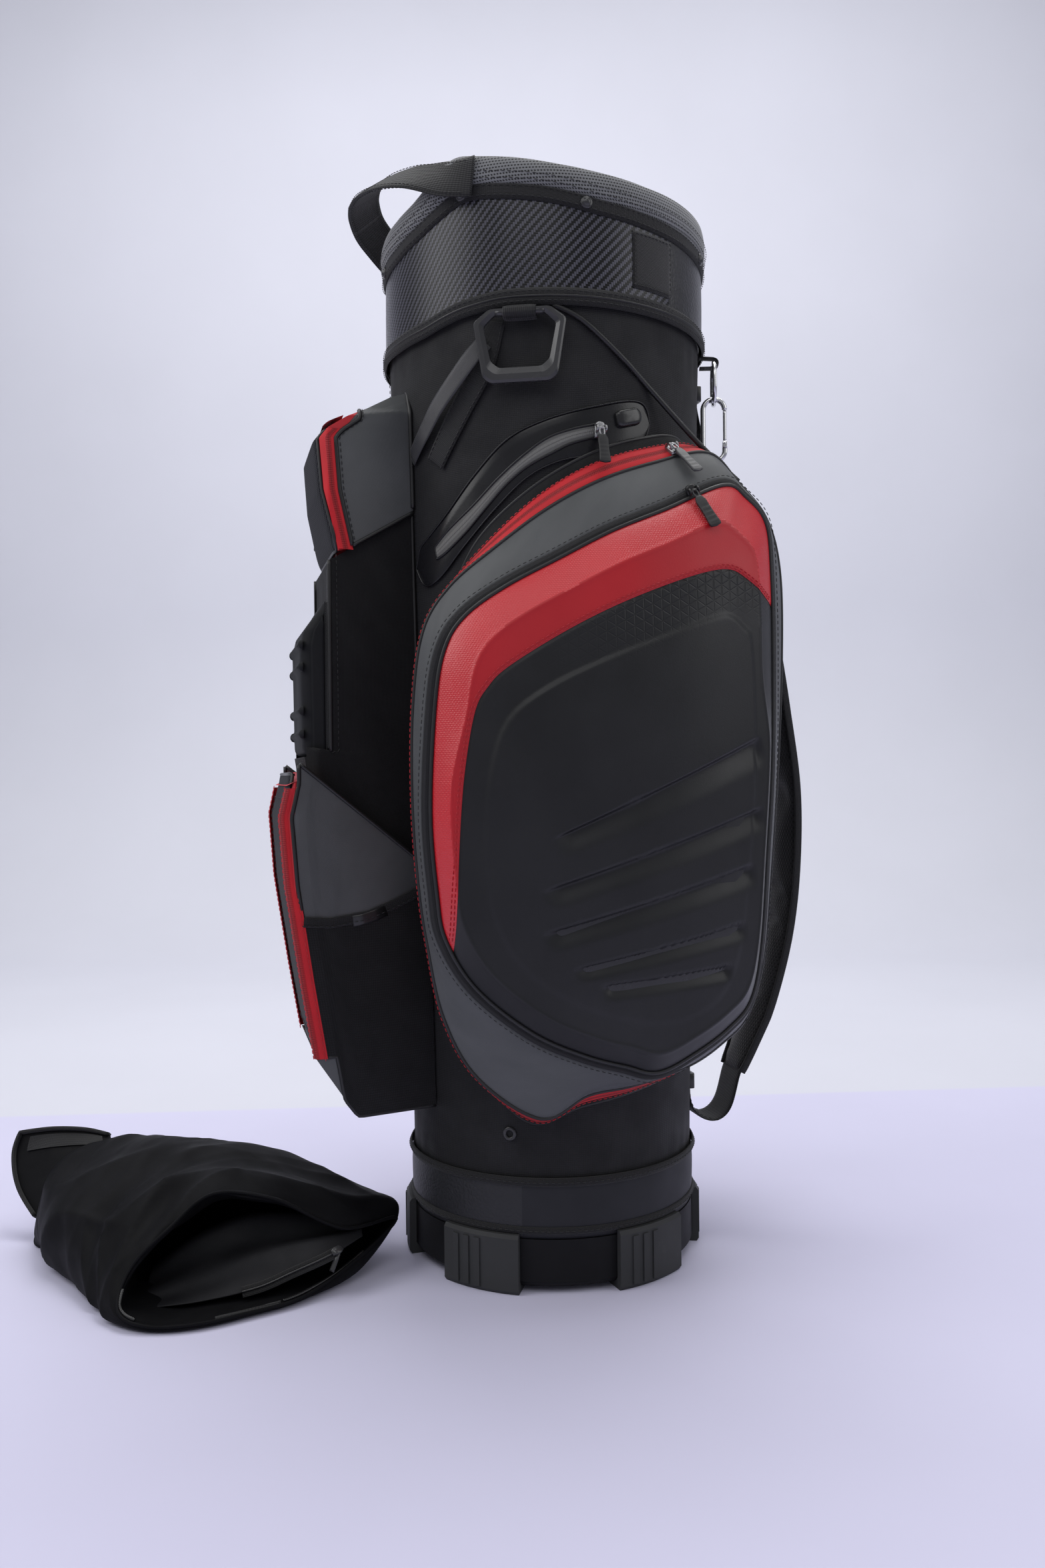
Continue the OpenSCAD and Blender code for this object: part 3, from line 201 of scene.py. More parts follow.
def moulded_mat(name, rgb, rough=0.45, grain=900, depth=0.05, coat=0.0, amount=0.12, spec=0.5, wear=0.0):
    """Moulded plastic, rubber or coated fabric with a fine grain."""
    m = Mat(name, rough, coat=coat, spec=spec)
    vec, x, y, z = m.coords("Object", 1)
    fine = m.noise(vec, grain, 2)
    base = varied(m, rgb, vec, 9, amount, 0.003)
    if wear:
        scuff = m.ramp(m.noise(vec, 60, 6, 0.7), 0.62, 0.7)
        base = m.mix(m.f("MULTIPLY", scuff, wear), base, tuple(min(1, c * 1.8 + 0.05) for c in rgb))
    m.color(base)
    m.rough(m.ramp(m.noise(vec, 25, 4), 0.3, 0.7, max(0.05, rough - 0.07), rough + 0.07))
    return m.bump((fine, depth)).m


def pebble_mat(name, rgb, rough=0.35, cell=260, depth=0.25):
    m = Mat(name, rough, spec=0.5)
    vec, x, y, z = m.coords("Object", 1)
    v = m.node("TexVoronoi", {"Vector": vec, "Scale": cell}, feature="DISTANCE_TO_EDGE")
    m.color(varied(m, rgb, vec, 12, 0.2, 0.005))
    return m.bump((m.ramp(v, 0.0, 0.25), depth)).m


def airmesh_mat(name, rgb, cell=2.4, coord="UV", dark=0.25, depth=0.5):
    """Knitted spacer mesh: offset rows of small holes."""
    m = Mat(name, 0.85, sheen=0.3, spec=0.3)
    vec, x, y, z = m.coords(coord, 1000 / cell)
    if coord == "Object":
        y = z
    row = m.f("FLOORED_MODULO", m.f("FLOOR", y), 2.0)
    fx = m.f("SUBTRACT", m.f("FRACT", m.f("ADD", x, m.f("MULTIPLY", row, 0.5))), 0.5)
    fy = m.f("SUBTRACT", m.f("FRACT", y), 0.5)
    d = m.f("SQRT", m.f("ADD", m.f("MULTIPLY", fx, fx), m.f("MULTIPLY", m.f("MULTIPLY", fy, fy), 1.6)))
    solid = m.ramp(d, 0.22, 0.42)
    low = tuple(c * dark for c in rgb)
    m.color(m.mix(solid, low, varied(m, rgb, vec, 0.03, 0.15, 0.01)))
    return m.bump((solid, depth)).m


def ribbed_mat(name, rgb, pitch=1.3, rough=0.7, depth=0.25, axis=1, sheen=0.1):
    """Grosgrain or webbing: ribs across the tape (UV v by default)."""
    m = Mat(name, rough, sheen=sheen, spec=0.4)
    vec, x, y, z = m.coords("UV", 1000)
    a, b = (y, x) if axis else (x, y)
    rib = m.f("SINE", m.f("MULTIPLY", a, 2 * pi / pitch))
    cross = m.f("SINE", m.f("MULTIPLY", b, 2 * pi / (pitch * 1.7)))
    h = m.f("ADD", rib, m.f("MULTIPLY", cross, 0.5))
    m.color(m.mix(m.ramp(h, -1.2, 1.2), tuple(c * 0.55 for c in rgb), tuple(min(1, c * 1.25) for c in rgb)))
    return m.bump((h, depth)).m


def lid_mat(name, rgb, rough, dots=0.0, grid=0.0, coat=0.0, spec=0.5):
    """Moulded lid skin: fine grain, with rows of small dots or a fading grid of triangles."""
    m = Mat(name, rough, spec=spec, coat=coat, coat_rough=0.3)
    vec, x, y, z = m.coords("Object", 1000)
    grain = m.noise(vec, 0.9, 3)
    heights = [(grain, 0.1)]
    if dots:
        row = m.f("FLOORED_MODULO", m.f("FLOOR", m.f("DIVIDE", z, 1.6)), 2.0)
        fy = m.f("SUBTRACT", m.f("FRACT", m.f("ADD", m.f("DIVIDE", y, 2.0), m.f("MULTIPLY", row, 0.5))), 0.5)
        fz = m.f("SUBTRACT", m.f("FRACT", m.f("DIVIDE", z, 1.6)), 0.5)
        d = m.f("ADD", m.f("MULTIPLY", fy, fy), m.f("MULTIPLY", fz, fz))
        bead = m.ramp(d, 0.05, 0.16, 1.0, 0.0)
        heights.append((bead, dots))
    if grid:
        lines = None
        for a in (0, 60, 120):
            d = m.f("ADD", m.f("MULTIPLY", y, cos(rad(a)) / 7.5), m.f("MULTIPLY", z, sin(rad(a)) / 7.5))
            t = m.f("ABSOLUTE", m.f("SUBTRACT", m.f("FRACT", d), 0.5))
            e = m.ramp(t, 0.40, 0.48)
            lines = e if lines is None else m.f("MAXIMUM", lines, e)
        # the grid shows along the seam at the top and fades out below it
        line = m.f("SUBTRACT", z, m.f("MULTIPLY", m.f("MINIMUM", y, 95.0), 0.44))
        fade = m.f("MULTIPLY", m.ramp(line, 495.0, 528.0), m.ramp(y, -60.0, 20.0))
        heights.append((m.f("MULTIPLY", lines, fade), -grid))
        # the grid's grooves are painted darker as well as sunk: painted shade in the grooves
        m.color(m.mix(m.f("MULTIPLY", m.f("MULTIPLY", lines, fade), 0.7),
                      varied(m, rgb, vec, 0.012, 0.15, 0.003),
                      tuple(c * 0.45 for c in rgb)))
    else:
        m.color(varied(m, rgb, vec, 0.012, 0.06))
    m.rough(m.ramp(m.noise(vec, 0.02, 3), 0.3, 0.7, rough - 0.05, rough + 0.07))
    return m.bump(*heights).m


def zip_mat(name, rgb, coil, width=2.2, pitch=1.5):
    """Zip tape: v runs across it from 0 at one edge (metres), a coil or a closed lip along its middle."""
    m = Mat(name, 0.62, spec=0.4, sheen=0.05)
    vec, x, y, z = m.coords("UV", 1000)
    at = m.f("ABSOLUTE", y)
    near = m.ramp(at, width * 0.5, width * 0.75, 1.0, 0.0)
    teeth = m.f("SINE", m.f("MULTIPLY", x, 2 * pi / pitch))
    tape = m.f("SINE", m.f("MULTIPLY", y, 2 * pi / 0.9))
    h = m.f("ADD", m.f("MULTIPLY", near, m.f("ADD", teeth, 1.5)), m.f("MULTIPLY", tape, 0.12))
    seam = m.ramp(at, 0.0, 0.4, 1.0, 0.0)
    c = m.mix(near, varied(m, rgb, vec, 0.03, 0.1), coil)
    m.color(m.mix(seam, c, tuple(v * 0.3 for v in coil)))
    return m.bump((h, 0.28)).m


def build_materials():
    M = MATS
    M["shell"] = weave_mat("shell_cloth", (0.011, 0.011, 0.0125), 1.5, 0.35, 0.7, 0.03, wrinkle=0.5, spec=0.3)
    M["panel"] = weave_mat("panel_cloth", (0.0085, 0.0085, 0.0095), 1.2, 0.25, 0.75, 0.02, wrinkle=0.6,
                           spec=0.22)
    M["ripstop"] = weave_mat("ripstop_cloth", (0.01, 0.01, 0.011), 2.0, 0.35, 0.72, 0.02, spec=0.25)
    M["carbon"] = twill_mat("carbon_twill", (0.004, 0.004, 0.005), 1.8, 24.0, 0.34, -1, spec=0.25, coat=0.05)
    M["carbon_cover"] = twill_mat("carbon_cover", (0.006, 0.006, 0.007), 1.5, 6.0, 0.62, -1, spec=0.08,
                                  coat=0.0)
    M["pebble_dark"] = pebble_mat("pebbled_band", (0.009, 0.0095, 0.012), 0.5)
    M["band_vinyl"] = moulded_mat("band_vinyl", (0.014, 0.0145, 0.018), 0.55, 700, 0.05, spec=0.3)
    M["pebble"] = pebble_mat("pebbled_vinyl", (0.018, 0.018, 0.021))
    M["binding"] = ribbed_mat("binding_tape", (0.0075, 0.0075, 0.0085), 1.0, 0.75)
    M["webbing"] = ribbed_mat("webbing", (0.008, 0.008, 0.009), 1.6, 0.7, 0.35)
    M["satin"] = ribbed_mat("satin_ribbon", (0.035, 0.035, 0.04), 0.7, 0.3, 0.06, axis=0)
    M["rim"] = airmesh_mat("rim_mesh", (0.19, 0.195, 0.2), 2.6, dark=0.06)
    M["grey"] = weave_mat("grey_coated", (0.078, 0.082, 0.085), 0.8, 0.1, 0.5, 0.0, contrast=0.12, spec=0.45)
    M["grey_smooth"] = moulded_mat("grey_vinyl", (0.078, 0.082, 0.085), 0.42, 700, 0.05)
    M["piping"] = moulded_mat("piping_cord", (0.006, 0.006, 0.0068), 0.45, 900, 0.05, 0.05)
    M["thread"] = moulded_mat("thread_black", (0.014, 0.014, 0.015), 0.6)
    M["thread_red"] = moulded_mat("thread_red", (0.5, 0.015, 0.025), 0.5)
    M["lid_red"] = lid_mat("lid_red", (0.56, 0.008, 0.016), 0.36, dots=0.16, spec=0.75)
    # a smooth, darker copy of the lid's red for the frame's inner band: the darker red is painted shade
    M["lid_red_in_painted_shade"] = lid_mat("lid_red_smooth_painted_shade", (0.45, 0.005, 0.012), 0.45)
    M["lid_black"] = lid_mat("lid_black", (0.0095, 0.0097, 0.011), 0.42, grid=0.35, spec=0.35)
    M["red_zip"] = zip_mat("red_zip_tape", (0.56, 0.008, 0.016), (0.33, 0.004, 0.009), 3.4)
    M["black_zip"] = zip_mat("black_zip_tape", (0.007, 0.007, 0.008), (0.022, 0.022, 0.024), 3.2)
    M["grey_zip"] = zip_mat("grey_zip_tape", (0.1, 0.1, 0.095), (0.17, 0.17, 0.16), 3.4)
    M["weld"] = moulded_mat("welded_film", (0.008, 0.008, 0.0095), 0.26, 500, 0.06, 0.0, spec=0.35)
    M["rubber"] = moulded_mat("foot_rubber", (0.034, 0.035, 0.036), 0.65, 600, 0.08, wear=0.15, spec=0.3)
    M["base"] = moulded_mat("base_plastic", (0.005, 0.005, 0.006), 0.55, 500, 0.06, wear=0.06, spec=0.16)
    M["plastic"] = moulded_mat("black_plastic", (0.01, 0.01, 0.011), 0.3, 600, 0.03, 0.1)
    M["pull"] = moulded_mat("pull_rubber", (0.009, 0.009, 0.01), 0.45, 900, 0.04)
    M["pull_grey"] = moulded_mat("pull_grey", (0.06, 0.06, 0.062), 0.45, 900, 0.04)
    M["cover_rubber"] = moulded_mat("embossed_rubber", (0.012, 0.0125, 0.014), 0.68, 500, 0.08, spec=0.12)
    M["hook"] = airmesh_mat("hook_tape", (0.005, 0.005, 0.0055), 1.1, dark=0.3, depth=0.6)
    M["metal"] = moulded_mat("slider_metal", (0.35, 0.35, 0.36), 0.35, 400, 0.02)
    M["chrome"] = moulded_mat("bright_wire", (0.75, 0.75, 0.77), 0.16, 300, 0.01)
    for k in ("metal", "chrome"):
        M[k].node_tree.nodes["Principled BSDF"].inputs["Metallic"].default_value = 1
    M["gunmetal"] = moulded_mat("dark_metal", (0.03, 0.03, 0.032), 0.25, 400, 0.02)
    M["divider"] = weave_mat("divider_cloth", (0.014, 0.014, 0.015), 1.2, 0.2, 0.85, 0.1, "Object")
    M["fibreglass"] = moulded_mat("fibreglass", (0.5, 0.49, 0.44), 0.35)
    M["nylon"] = weave_mat("hood_nylon", (0.004, 0.004, 0.0052), 0.7, 0.08, 0.62, 0.0, spec=0.1)
    M["lining_cloth"] = weave_mat("hood_lining", (0.016, 0.016, 0.019), 0.7, 0.08, 0.6, 0.0, spec=0.2)
    M["airmesh_round"] = airmesh_mat("strap_mesh_solid", (0.012, 0.012, 0.013), 3.0, "Object")
    M["red_plain"] = moulded_mat("red_tape_solid", (0.5, 0.012, 0.02), 0.6, 500)
    M["panel_solid"] = weave_mat("panel_cloth_solid", (0.0085, 0.0085, 0.0095), 1.0, 0.2, 0.75, 0.02,
                                 "Object", spec=0.22)
    M["binding_solid"] = moulded_mat("binding_solid", (0.0075, 0.0075, 0.0085), 0.7, 600)
    M["badge"] = moulded_mat("blank_badge", (0.012, 0.012, 0.013), 0.4, 500, 0.02, 0.1)


build_materials()


# ---------------------------------------------------------------- curves
def cm(a, b, c, d, t):
    """Point at t of the smooth curve that runs from b to c (Catmull-Rom)."""
    return 0.5 * (2 * b + (c - a) * t + (2 * a - 5 * b + 4 * c - d) * t * t
                  + (3 * b - a - 3 * c + d) * t ** 3)


def closed(p, n):
    p = np.array(p, float)
    k = len(p)
    return np.array([cm(p[i - 1], p[i], p[(i + 1) % k], p[(i + 2) % k], s / n)
                     for i in range(k) for s in range(n)])


def opened(p, n):
    p = np.array(p, float)
    k = len(p)
    out = [cm(p[max(i - 1, 0)], p[i], p[i + 1], p[min(i + 2, k - 1)], s / n)
           for i in range(k - 1) for s in range(n)]
    return np.array(out + [p[-1]])


def even(p, step, loop=False):
    """Points at an even spacing along a polyline."""
    p = np.array(p, float)
    if loop:
        p = np.vstack([p, p[:1]])
    d = np.r_[0, np.cumsum(np.linalg.norm(np.diff(p, axis=0), axis=1))]
    n = max(2, int(round(d[-1] / step)))
    s = np.linspace(0, d[-1], n + 1)
    out = np.stack([np.interp(s, d, p[:, k]) for k in range(p.shape[1])], 1)
    return out[:-1] if loop else out


def unit(v):
    v = np.asarray(v, float)
    return v / np.maximum(np.linalg.norm(v, axis=-1, keepdims=True), 1e-9)


def tangents(p, loop=False):
    if loop:
        return unit(np.roll(p, -1, 0) - np.roll(p, 1, 0))
    t = np.empty_like(p)
    t[1:-1] = p[2:] - p[:-2]
    t[0], t[-1] = p[1] - p[0], p[-1] - p[-2]
    return unit(t)


def tube_r(z):
    return 121.5 + 16.5 * np.asarray(z, float) / 788


def around(az, r, z):
    a = np.radians(az)
    return np.stack(np.broadcast_arrays(r * np.sin(a), -r * np.cos(a), z), -1)


def smoothstep(a, b, x):
    t = np.clip((np.asarray(x, float) - a) / (b - a), 0, 1)
    return t * t * (3 - 2 * t)


def wave3(p, k, seed=0):
    """Smooth, seeded waves in space, roughly -1..1."""
    g = np.random.RandomState(seed)
    out = 0
    for _ in range(5):
        d = unit(g.normal(size=3)) * k * g.uniform(0.6, 1.5)
        out = out + np.sin(p @ d + g.uniform(0, 6.28))
    return out / 3


# ---------------------------------------------------------------- mesh makers
def make(name, verts, faces, mat, body, slot=None, replaces=(), uv=None, smooth=True, mats=None,
         face_mats=None):
    me = bpy.data.meshes.new(name)
    me.from_pydata([tuple(v) for v in np.asarray(verts, float) * MM], [],
                   [tuple(int(i) for i in f) for f in faces])
    me.validate()
    o = bpy.data.objects.new(name, me)
    scene.collection.objects.link(o)
    for m in (mats or [mat]):
        me.materials.append(MATS[m])
    if face_mats is not None:
        me.polygons.foreach_set("material_index", np.asarray(face_mats, np.int32))
    me.polygons.foreach_set("use_smooth", [smooth] * len(me.polygons))
    if uv is not None:
        layer = me.uv_layers.new(name="metres")
        idx = np.empty(len(me.loops), np.int32)
        me.loops.foreach_get("vertex_index", idx)
        layer.data.foreach_set("uv", (np.asarray(uv, float) * MM)[idx].astype(np.float32).ravel())
    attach(o, body)
    if replaces:
        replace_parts(o, *([replaces] if isinstance(replaces, str) else replaces))
    return o


def arc(rows, axis):
    d = np.linalg.norm(np.diff(rows, axis=axis), axis=-1)
    pad = [(0, 0), (0, 0)]
    pad[axis] = (1, 0)
    return np.pad(np.cumsum(d, axis=axis), pad)


def grid(name, rows, mat, body, slot=None, replaces=(), loop_u=False, loop_v=False, flip=False, uv=None,
         caps=False, thick=0.0, **k):
    """rows[i][j] points. u runs along j, v along i. caps fill the first and last rows."""
    rows = np.asarray(rows, float)
    m, n = rows.shape[:2]
    if uv is None:
        ext = np.concatenate([rows, rows[:, :1]], 1) if loop_u else rows
        u = arc(ext, 1)[:, :n]
        v = arc(np.concatenate([rows, rows[:1]], 0) if loop_v else rows, 0)[:m]
        uv = np.stack([u, v], -1)
    I, J = np.meshgrid(np.arange(m if loop_v else m - 1), np.arange(n if loop_u else n - 1), indexing="ij")
    a = I * n + J
    b = I * n + (J + 1) % n
    c = ((I + 1) % m) * n + (J + 1) % n
    d = ((I + 1) % m) * n + J
    q = np.stack([a, b, c, d], -1).reshape(-1, 4)
    if flip:
        q = q[:, ::-1]
    faces = q.tolist()
    if caps:
        ends = [list(range(n)), [(m - 1) * n + i for i in range(n)]]
        faces += [ends[0][::-1] if not flip else ends[0], ends[1] if not flip else ends[1][::-1]]
    o = make(name, rows.reshape(-1, 3), faces, mat, body, slot, replaces, uv.reshape(-1, 2), **k)
    if thick:
        s = o.modifiers.new("thickness", "SOLIDIFY")
        s.thickness = thick * MM
        s.offset = -1
        s.use_even_offset = True
    return o


def frames(p, loop=False, up=None):
    """Side and up vectors along a path, turning as little as possible, or towards given ups."""
    t = tangents(p, loop)
    if up is not None:
        u = np.broadcast_to(np.asarray(up, float), p.shape)
        s = unit(np.cross(t, u))
        return s, unit(np.cross(s, t))
    s = np.empty_like(p)
    ref = np.array([0, 0, 1.0]) if abs(t[0][2]) < 0.9 else np.array([1.0, 0, 0])
    s[0] = unit(np.cross(t[0], ref))
    for i in range(1, len(p)):
        s[i] = unit(s[i - 1] - t[i] * np.dot(s[i - 1], t[i]))
    return s, unit(np.cross(s, t))


def section(kind, w, h, n=12):
    """Closed cross-sections, as (side, up) pairs."""
    if kind == "round":
        a = np.linspace(0, 2 * pi, n, endpoint=False)
        return np.stack([np.cos(a) * w / 2, np.sin(a) * h / 2], 1)
    a = np.linspace(0, 2 * pi, n, endpoint=False)
    e = 0.35
    x = np.sign(np.cos(a)) * np.abs(np.cos(a)) ** e
    y = np.sign(np.sin(a)) * np.abs(np.sin(a)) ** e
    return np.stack([x * w / 2, y * h / 2], 1)


def sweep(name, p, sec, mat, body, slot=None, replaces=(), loop=False, up=None, taper=None, **k):
    p = np.asarray(p, float)
    s, u = frames(p, loop, up)
    sec = np.asarray(sec, float)
    size = np.ones(len(p)) if taper is None else np.asarray(taper, float)
    rows = p[:, None] + size[:, None, None] * (sec[None, :, :1] * s[:, None] + sec[None, :, 1:] * u[:, None])
    d = np.r_[0, np.cumsum(np.linalg.norm(np.diff(p, axis=0), axis=1))]
    per = np.r_[0, np.cumsum(np.linalg.norm(np.diff(sec, axis=0), axis=1))]
    uv = np.stack(np.broadcast_arrays(d[:, None], per[None]), -1)
    return grid(name, rows, mat, body, slot, replaces, loop_u=True, loop_v=loop, uv=uv, caps=not loop,
                flip=True, **k)


def piping(name, p, body, r=2.0, mat="piping", slot="binding", loop=False, **k):
    return sweep(name, even(p, 4, loop), section("round", 2 * r, 2 * r, 10), mat, body, slot, loop=loop, **k)


def stitches(name, p, out, body, mat="thread", slot="binding", length=3.2, pitch=5.0, r=0.42, loop=False,
             lift=0.1):
    """A row of stitches on a surface: p on it, out its normals (one or many)."""
    p = np.asarray(p, float)
    q = even(p, pitch, loop)
    t = tangents(q, loop)
    out = np.asarray(out, float)
    if out.ndim == 1:
        n = np.broadcast_to(out, q.shape)
    else:
        near = ((q[:, None] - p[None]) ** 2).sum(-1).argmin(1)
        n = out[near]
    s = unit(np.cross(t, n))
    n = unit(np.cross(s, t))
    verts, faces = [], []
    shape = [(-1, 0.0), (-0.6, 0.9), (0.6, 0.9), (1, 0.0)]
    ring = [(cos(a), sin(a)) for a in np.linspace(0, 2 * pi, 5, endpoint=False)]
    for c, tt, ss, nn in zip(q, t, s, n):
        base = len(verts)
        for a, k in shape:
            for x, y in ring:
                verts.append(c + tt * a * length / 2 + ss * x * r * max(k, 0.35)
                             + nn * (y * r * max(k, 0.35) + lift + 0.25 * k))
        for i in range(3):
            for j in range(5):
                faces.append((base + i * 5 + j, base + i * 5 + (j + 1) % 5, base + i * 5 + 5 + (j + 1) % 5,
                              base + i * 5 + 5 + j))
        faces.append(tuple(base + j for j in range(5)))
        faces.append(tuple(base + 19 - j for j in range(5)))
    return make(name, verts, faces, mat, body, slot)


def dress(node, mat):
    """A CAD node that stays, with a better material."""
    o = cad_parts[node]
    o.data.materials.clear()
    o.data.materials.append(MATS[mat])
    for p in o.data.polygons:
        p.material_index = 0


# ---------------------------------------------------------------- tables shared with the solids
R1, TOP = 138.0, 788.0
RIM_CREST = [[0, 95], [15, 97], [26, 101], [33, 109], [39, 119], [45, 124], [52, 120], [66, 114], [79, 108],
             [92, 104], [110, 101], [145, 102], [180, 104]]
BIND_TOP = [[0, 72], [15, 74], [29, 81], [38, 89], [45, 96], [50, 98], [57, 96], [75, 90], [92, 82],
            [112, 78], [140, 76], [180, 76]]
COLLAR_LOW = [[0, -13], [14, -15], [31, -14], [45, -7], [60, -3], [180, -3]]


def eased(t):
    """A table smoothed into an even curve over 0..180 degrees."""
    a = np.linspace(0, 180, 181)
    v = np.interp(a, *np.array(t, float).T)
    pad = np.r_[v[12:0:-1], v, v[-2:-14:-1]]
    k = np.hanning(13)
    return a, np.convolve(pad, k / k.sum(), "same")[12:-12]


EASED = {k: eased(t) for k, t in (("crest", RIM_CREST), ("bind", BIND_TOP), ("low", COLLAR_LOW))}


def height(kind, az):
    a = np.abs((np.asarray(az, float) + 180) % 360 - 180)
    return TOP + np.interp(a, *EASED[kind])


FULL = np.linspace(0, 360, 288, endpoint=False)


def skin(az, z, off):
    """Points lying off the tube by a distance."""
    return around(az, tube_r(z) + off, z)


# ---------------------------------------------------------------- tube, bands, collar
def build_tube():
    zs = np.linspace(44, 788, 190)
    rows = []
    for z in zs:
        p = skin(FULL, np.full(FULL.shape, z), 0.0)
        n = wave3(p, 0.022, 3) * 0.5 + wave3(p * np.array([1, 1, 0.35]), 0.05, 4) * 0.4
        # the cloth puckers a little under the collar's seam and over the base's band
        pucker = np.exp(-((z - 770) / 18) ** 2) + np.exp(-((z - 100) / 16) ** 2)
        n = n + pucker * 0.5 * np.sin(np.radians(FULL) * 34 + 2 * np.sin(np.radians(FULL) * 5))
        rows.append(skin(FULL, np.full(FULL.shape, z), -0.7 + 0.55 * np.clip(n, -1.2, 1.2)))
    grid("tube_cloth", rows, "shell", "bag", "shell_fabric", "body_shell", loop_u=True)
    for k, (az0, az1, z0, z1) in enumerate(((-9, -9, 783, 727), (-9, 8, 727, 682))):
        t = np.linspace(0, 1, 24)
        p = skin(az0 + (az1 - az0) * t, z0 + (z1 - z0) * t, 0.0)
        stitches("tube_seam_%d" % k, p, unit(p * [1, 1, 0]), "bag", slot="shell_fabric")
    # metal eyelet low on the right side
    c = skin(58, 128, -0.1)
    out = unit(np.array([c[0], c[1], 0]))
    side = unit(np.cross([0, 0, 1], out))
    a = np.linspace(0, 2 * pi, 32, endpoint=False)
    ring = c + out * 0.4 + 4.2 * (np.cos(a)[:, None] * side + np.sin(a)[:, None] * np.array([0, 0, 1.0]))
    sweep("eyelet", ring, section("round", 3.0, 2.0, 10), "gunmetal", "bag", "metal", loop=True,
          up=out)


def band_rows(off, thick, z0, z1, n=14, bulge=0.5, az=FULL):
    t = np.linspace(0, 1, n)
    rows = [skin(az, np.full(az.shape, z0), off)]
    for k in t:
        z = z0 + (z1 - z0) * k
        rows.append(skin(az, np.full(az.shape, z), off + thick - 0.5 + 0.5 * min(1, 4 * k, 4 * (1 - k))
                         + bulge * sin(pi * k)))
    rows.append(skin(az, np.full(az.shape, z1), off))
    return rows


def build_bands():
    rows = band_rows(0.3, 1.5, 44.5, 89, 16)
    n = len(FULL)
    mid = (FULL + 180 / n + 360 / n * 0) % 360
    left = ((mid > 300) | (mid < 62))
    mats = np.tile(np.where(left, 0, 1), len(rows) - 1)
    grid("lower_band_cloth", rows, None, "bag", "trim_fabric", "lower_band", loop_u=True,
         mats=["pebble_dark", "band_vinyl"], face_mats=mats)
    MATS_LOW = (("low_binding", 2.0, 48.4, 54.0), ("band_binding", 2.0, 86.9, 94.0))
    parts = []
    for name, off, z0, z1 in MATS_LOW:
        parts.append(grid(name, band_rows(off, 1.5, z0, z1, 8, 0.5), "binding", "bag", "binding",
                          loop_u=True))
        z = (z0 + z1) / 2
        p = skin(FULL, np.full(FULL.shape, z), off + 2.0)
        stitches(name + "_stitch", p, unit(p * [1, 1, 0]), "bag", loop=True)
    # the two bindings of the collar
    for name, kind, w, down in (("collar_foot_binding", "low", 14.0, 0.0),
                                ("collar_top_binding", "bind", 12.5, 12.5)):
        rows = []
        for k in np.linspace(0, 1, 11):
            z = height(kind, FULL) - down + w * k
            edge = min(1, 5 * k, 5 * (1 - k))
            rows.append(around(FULL, 141.0 + 1.2 * edge ** 0.5 + 0.5 * sin(pi * k), z))
        rows = [around(FULL, 140.7, height(kind, FULL)
                       - down)] + rows + [around(FULL, 140.7, height(kind, FULL) - down + w)]
        parts.append(grid(name, rows, "binding", "bag", "binding", loop_u=True))
        for at in ((0.22, 0.78) if kind == "low" else (0.2, 0.82)):
            p = around(FULL, 142.9, height(kind, FULL) - down + w * at)
            stitches("%s_stitch_%d" % (name, at * 10), p, unit(p * [1, 1, 0]), "bag", loop=True)
        if kind == "low":
            # a groove and a piping part the double binding
            piping("collar_foot_cord", around(FULL, 142.3, height(kind, FULL) + w * 0.5), "bag", 1.1,
                   loop=True)
    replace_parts(parts[0], "binding_tapes")


def build_collar():
    rows = []
    for k in np.linspace(0, 1, 26):
        z = height("low", FULL) + 5 + (height("bind", FULL) - 4 - height("low", FULL) - 5) * k
        puff = 0.5 * sin(pi * k) + 0.25 * wave3(around(FULL, 140.0, z), 0.03, 9)
        rows.append(around(FULL, 140.2 + np.clip(puff, -0.4, 0.9), z))
    n = len(FULL)
    a = (FULL + 180 / n + 180) % 360 - 180
    mats = np.tile(np.where(np.abs(a) < 121.5, 0, 1), len(rows) - 1)
    grid("collar_cloth", rows, None, "bag", "collar_fabric", "collar_band", loop_u=True,
         mats=["carbon", "pebble"], face_mats=mats)
    # hook patch and blank badge
    for name, az, span, z0, z1, mat in (("hook_patch", 113, 17, 805, 851, "hook"),
                                        ("collar_badge", -24, 16, 792, 836, "badge")):
        A = np.linspace(az - span / 2, az + span / 2, 30)
        rows = [around(A, 140.8, np.full(A.shape, z0))]
        for k in np.linspace(0, 1, 18):
            e = min(1, 12 * k + 0.2, 12 * (1 - k) + 0.2)
            ends = np.minimum(1, np.minimum(np.arange(30), np.arange(30)[::-1]) / 1.5)
            rows.append(around(A, 141.0 + 1.1 * e * np.maximum(ends, 0.05),
                               np.full(A.shape, z0 + (z1 - z0) * k)))
        rows.append(around(A, 140.8, np.full(A.shape, z1)))
        o = grid(name, rows, mat, "bag", "binding")
        if name == "hook_patch":
            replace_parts(o, "collar_patches")
            q = np.concatenate([around(A[1:-1], 142.1, np.full(28, z0 + 2.5)),
                                around(np.full(12, A[-2]), 142.1, np.linspace(z0 + 2.5, z1 - 2.5, 12)),
                                around(A[1:-1][::-1], 142.1, np.full(28, z1 - 2.5)),
                                around(np.full(12, A[1]), 142.1, np.linspace(z1 - 2.5, z0 + 2.5, 12))])
            stitches("hook_patch_stitch", q, unit(q * [1, 1, 0]), "bag", pitch=4.0, length=2.6)


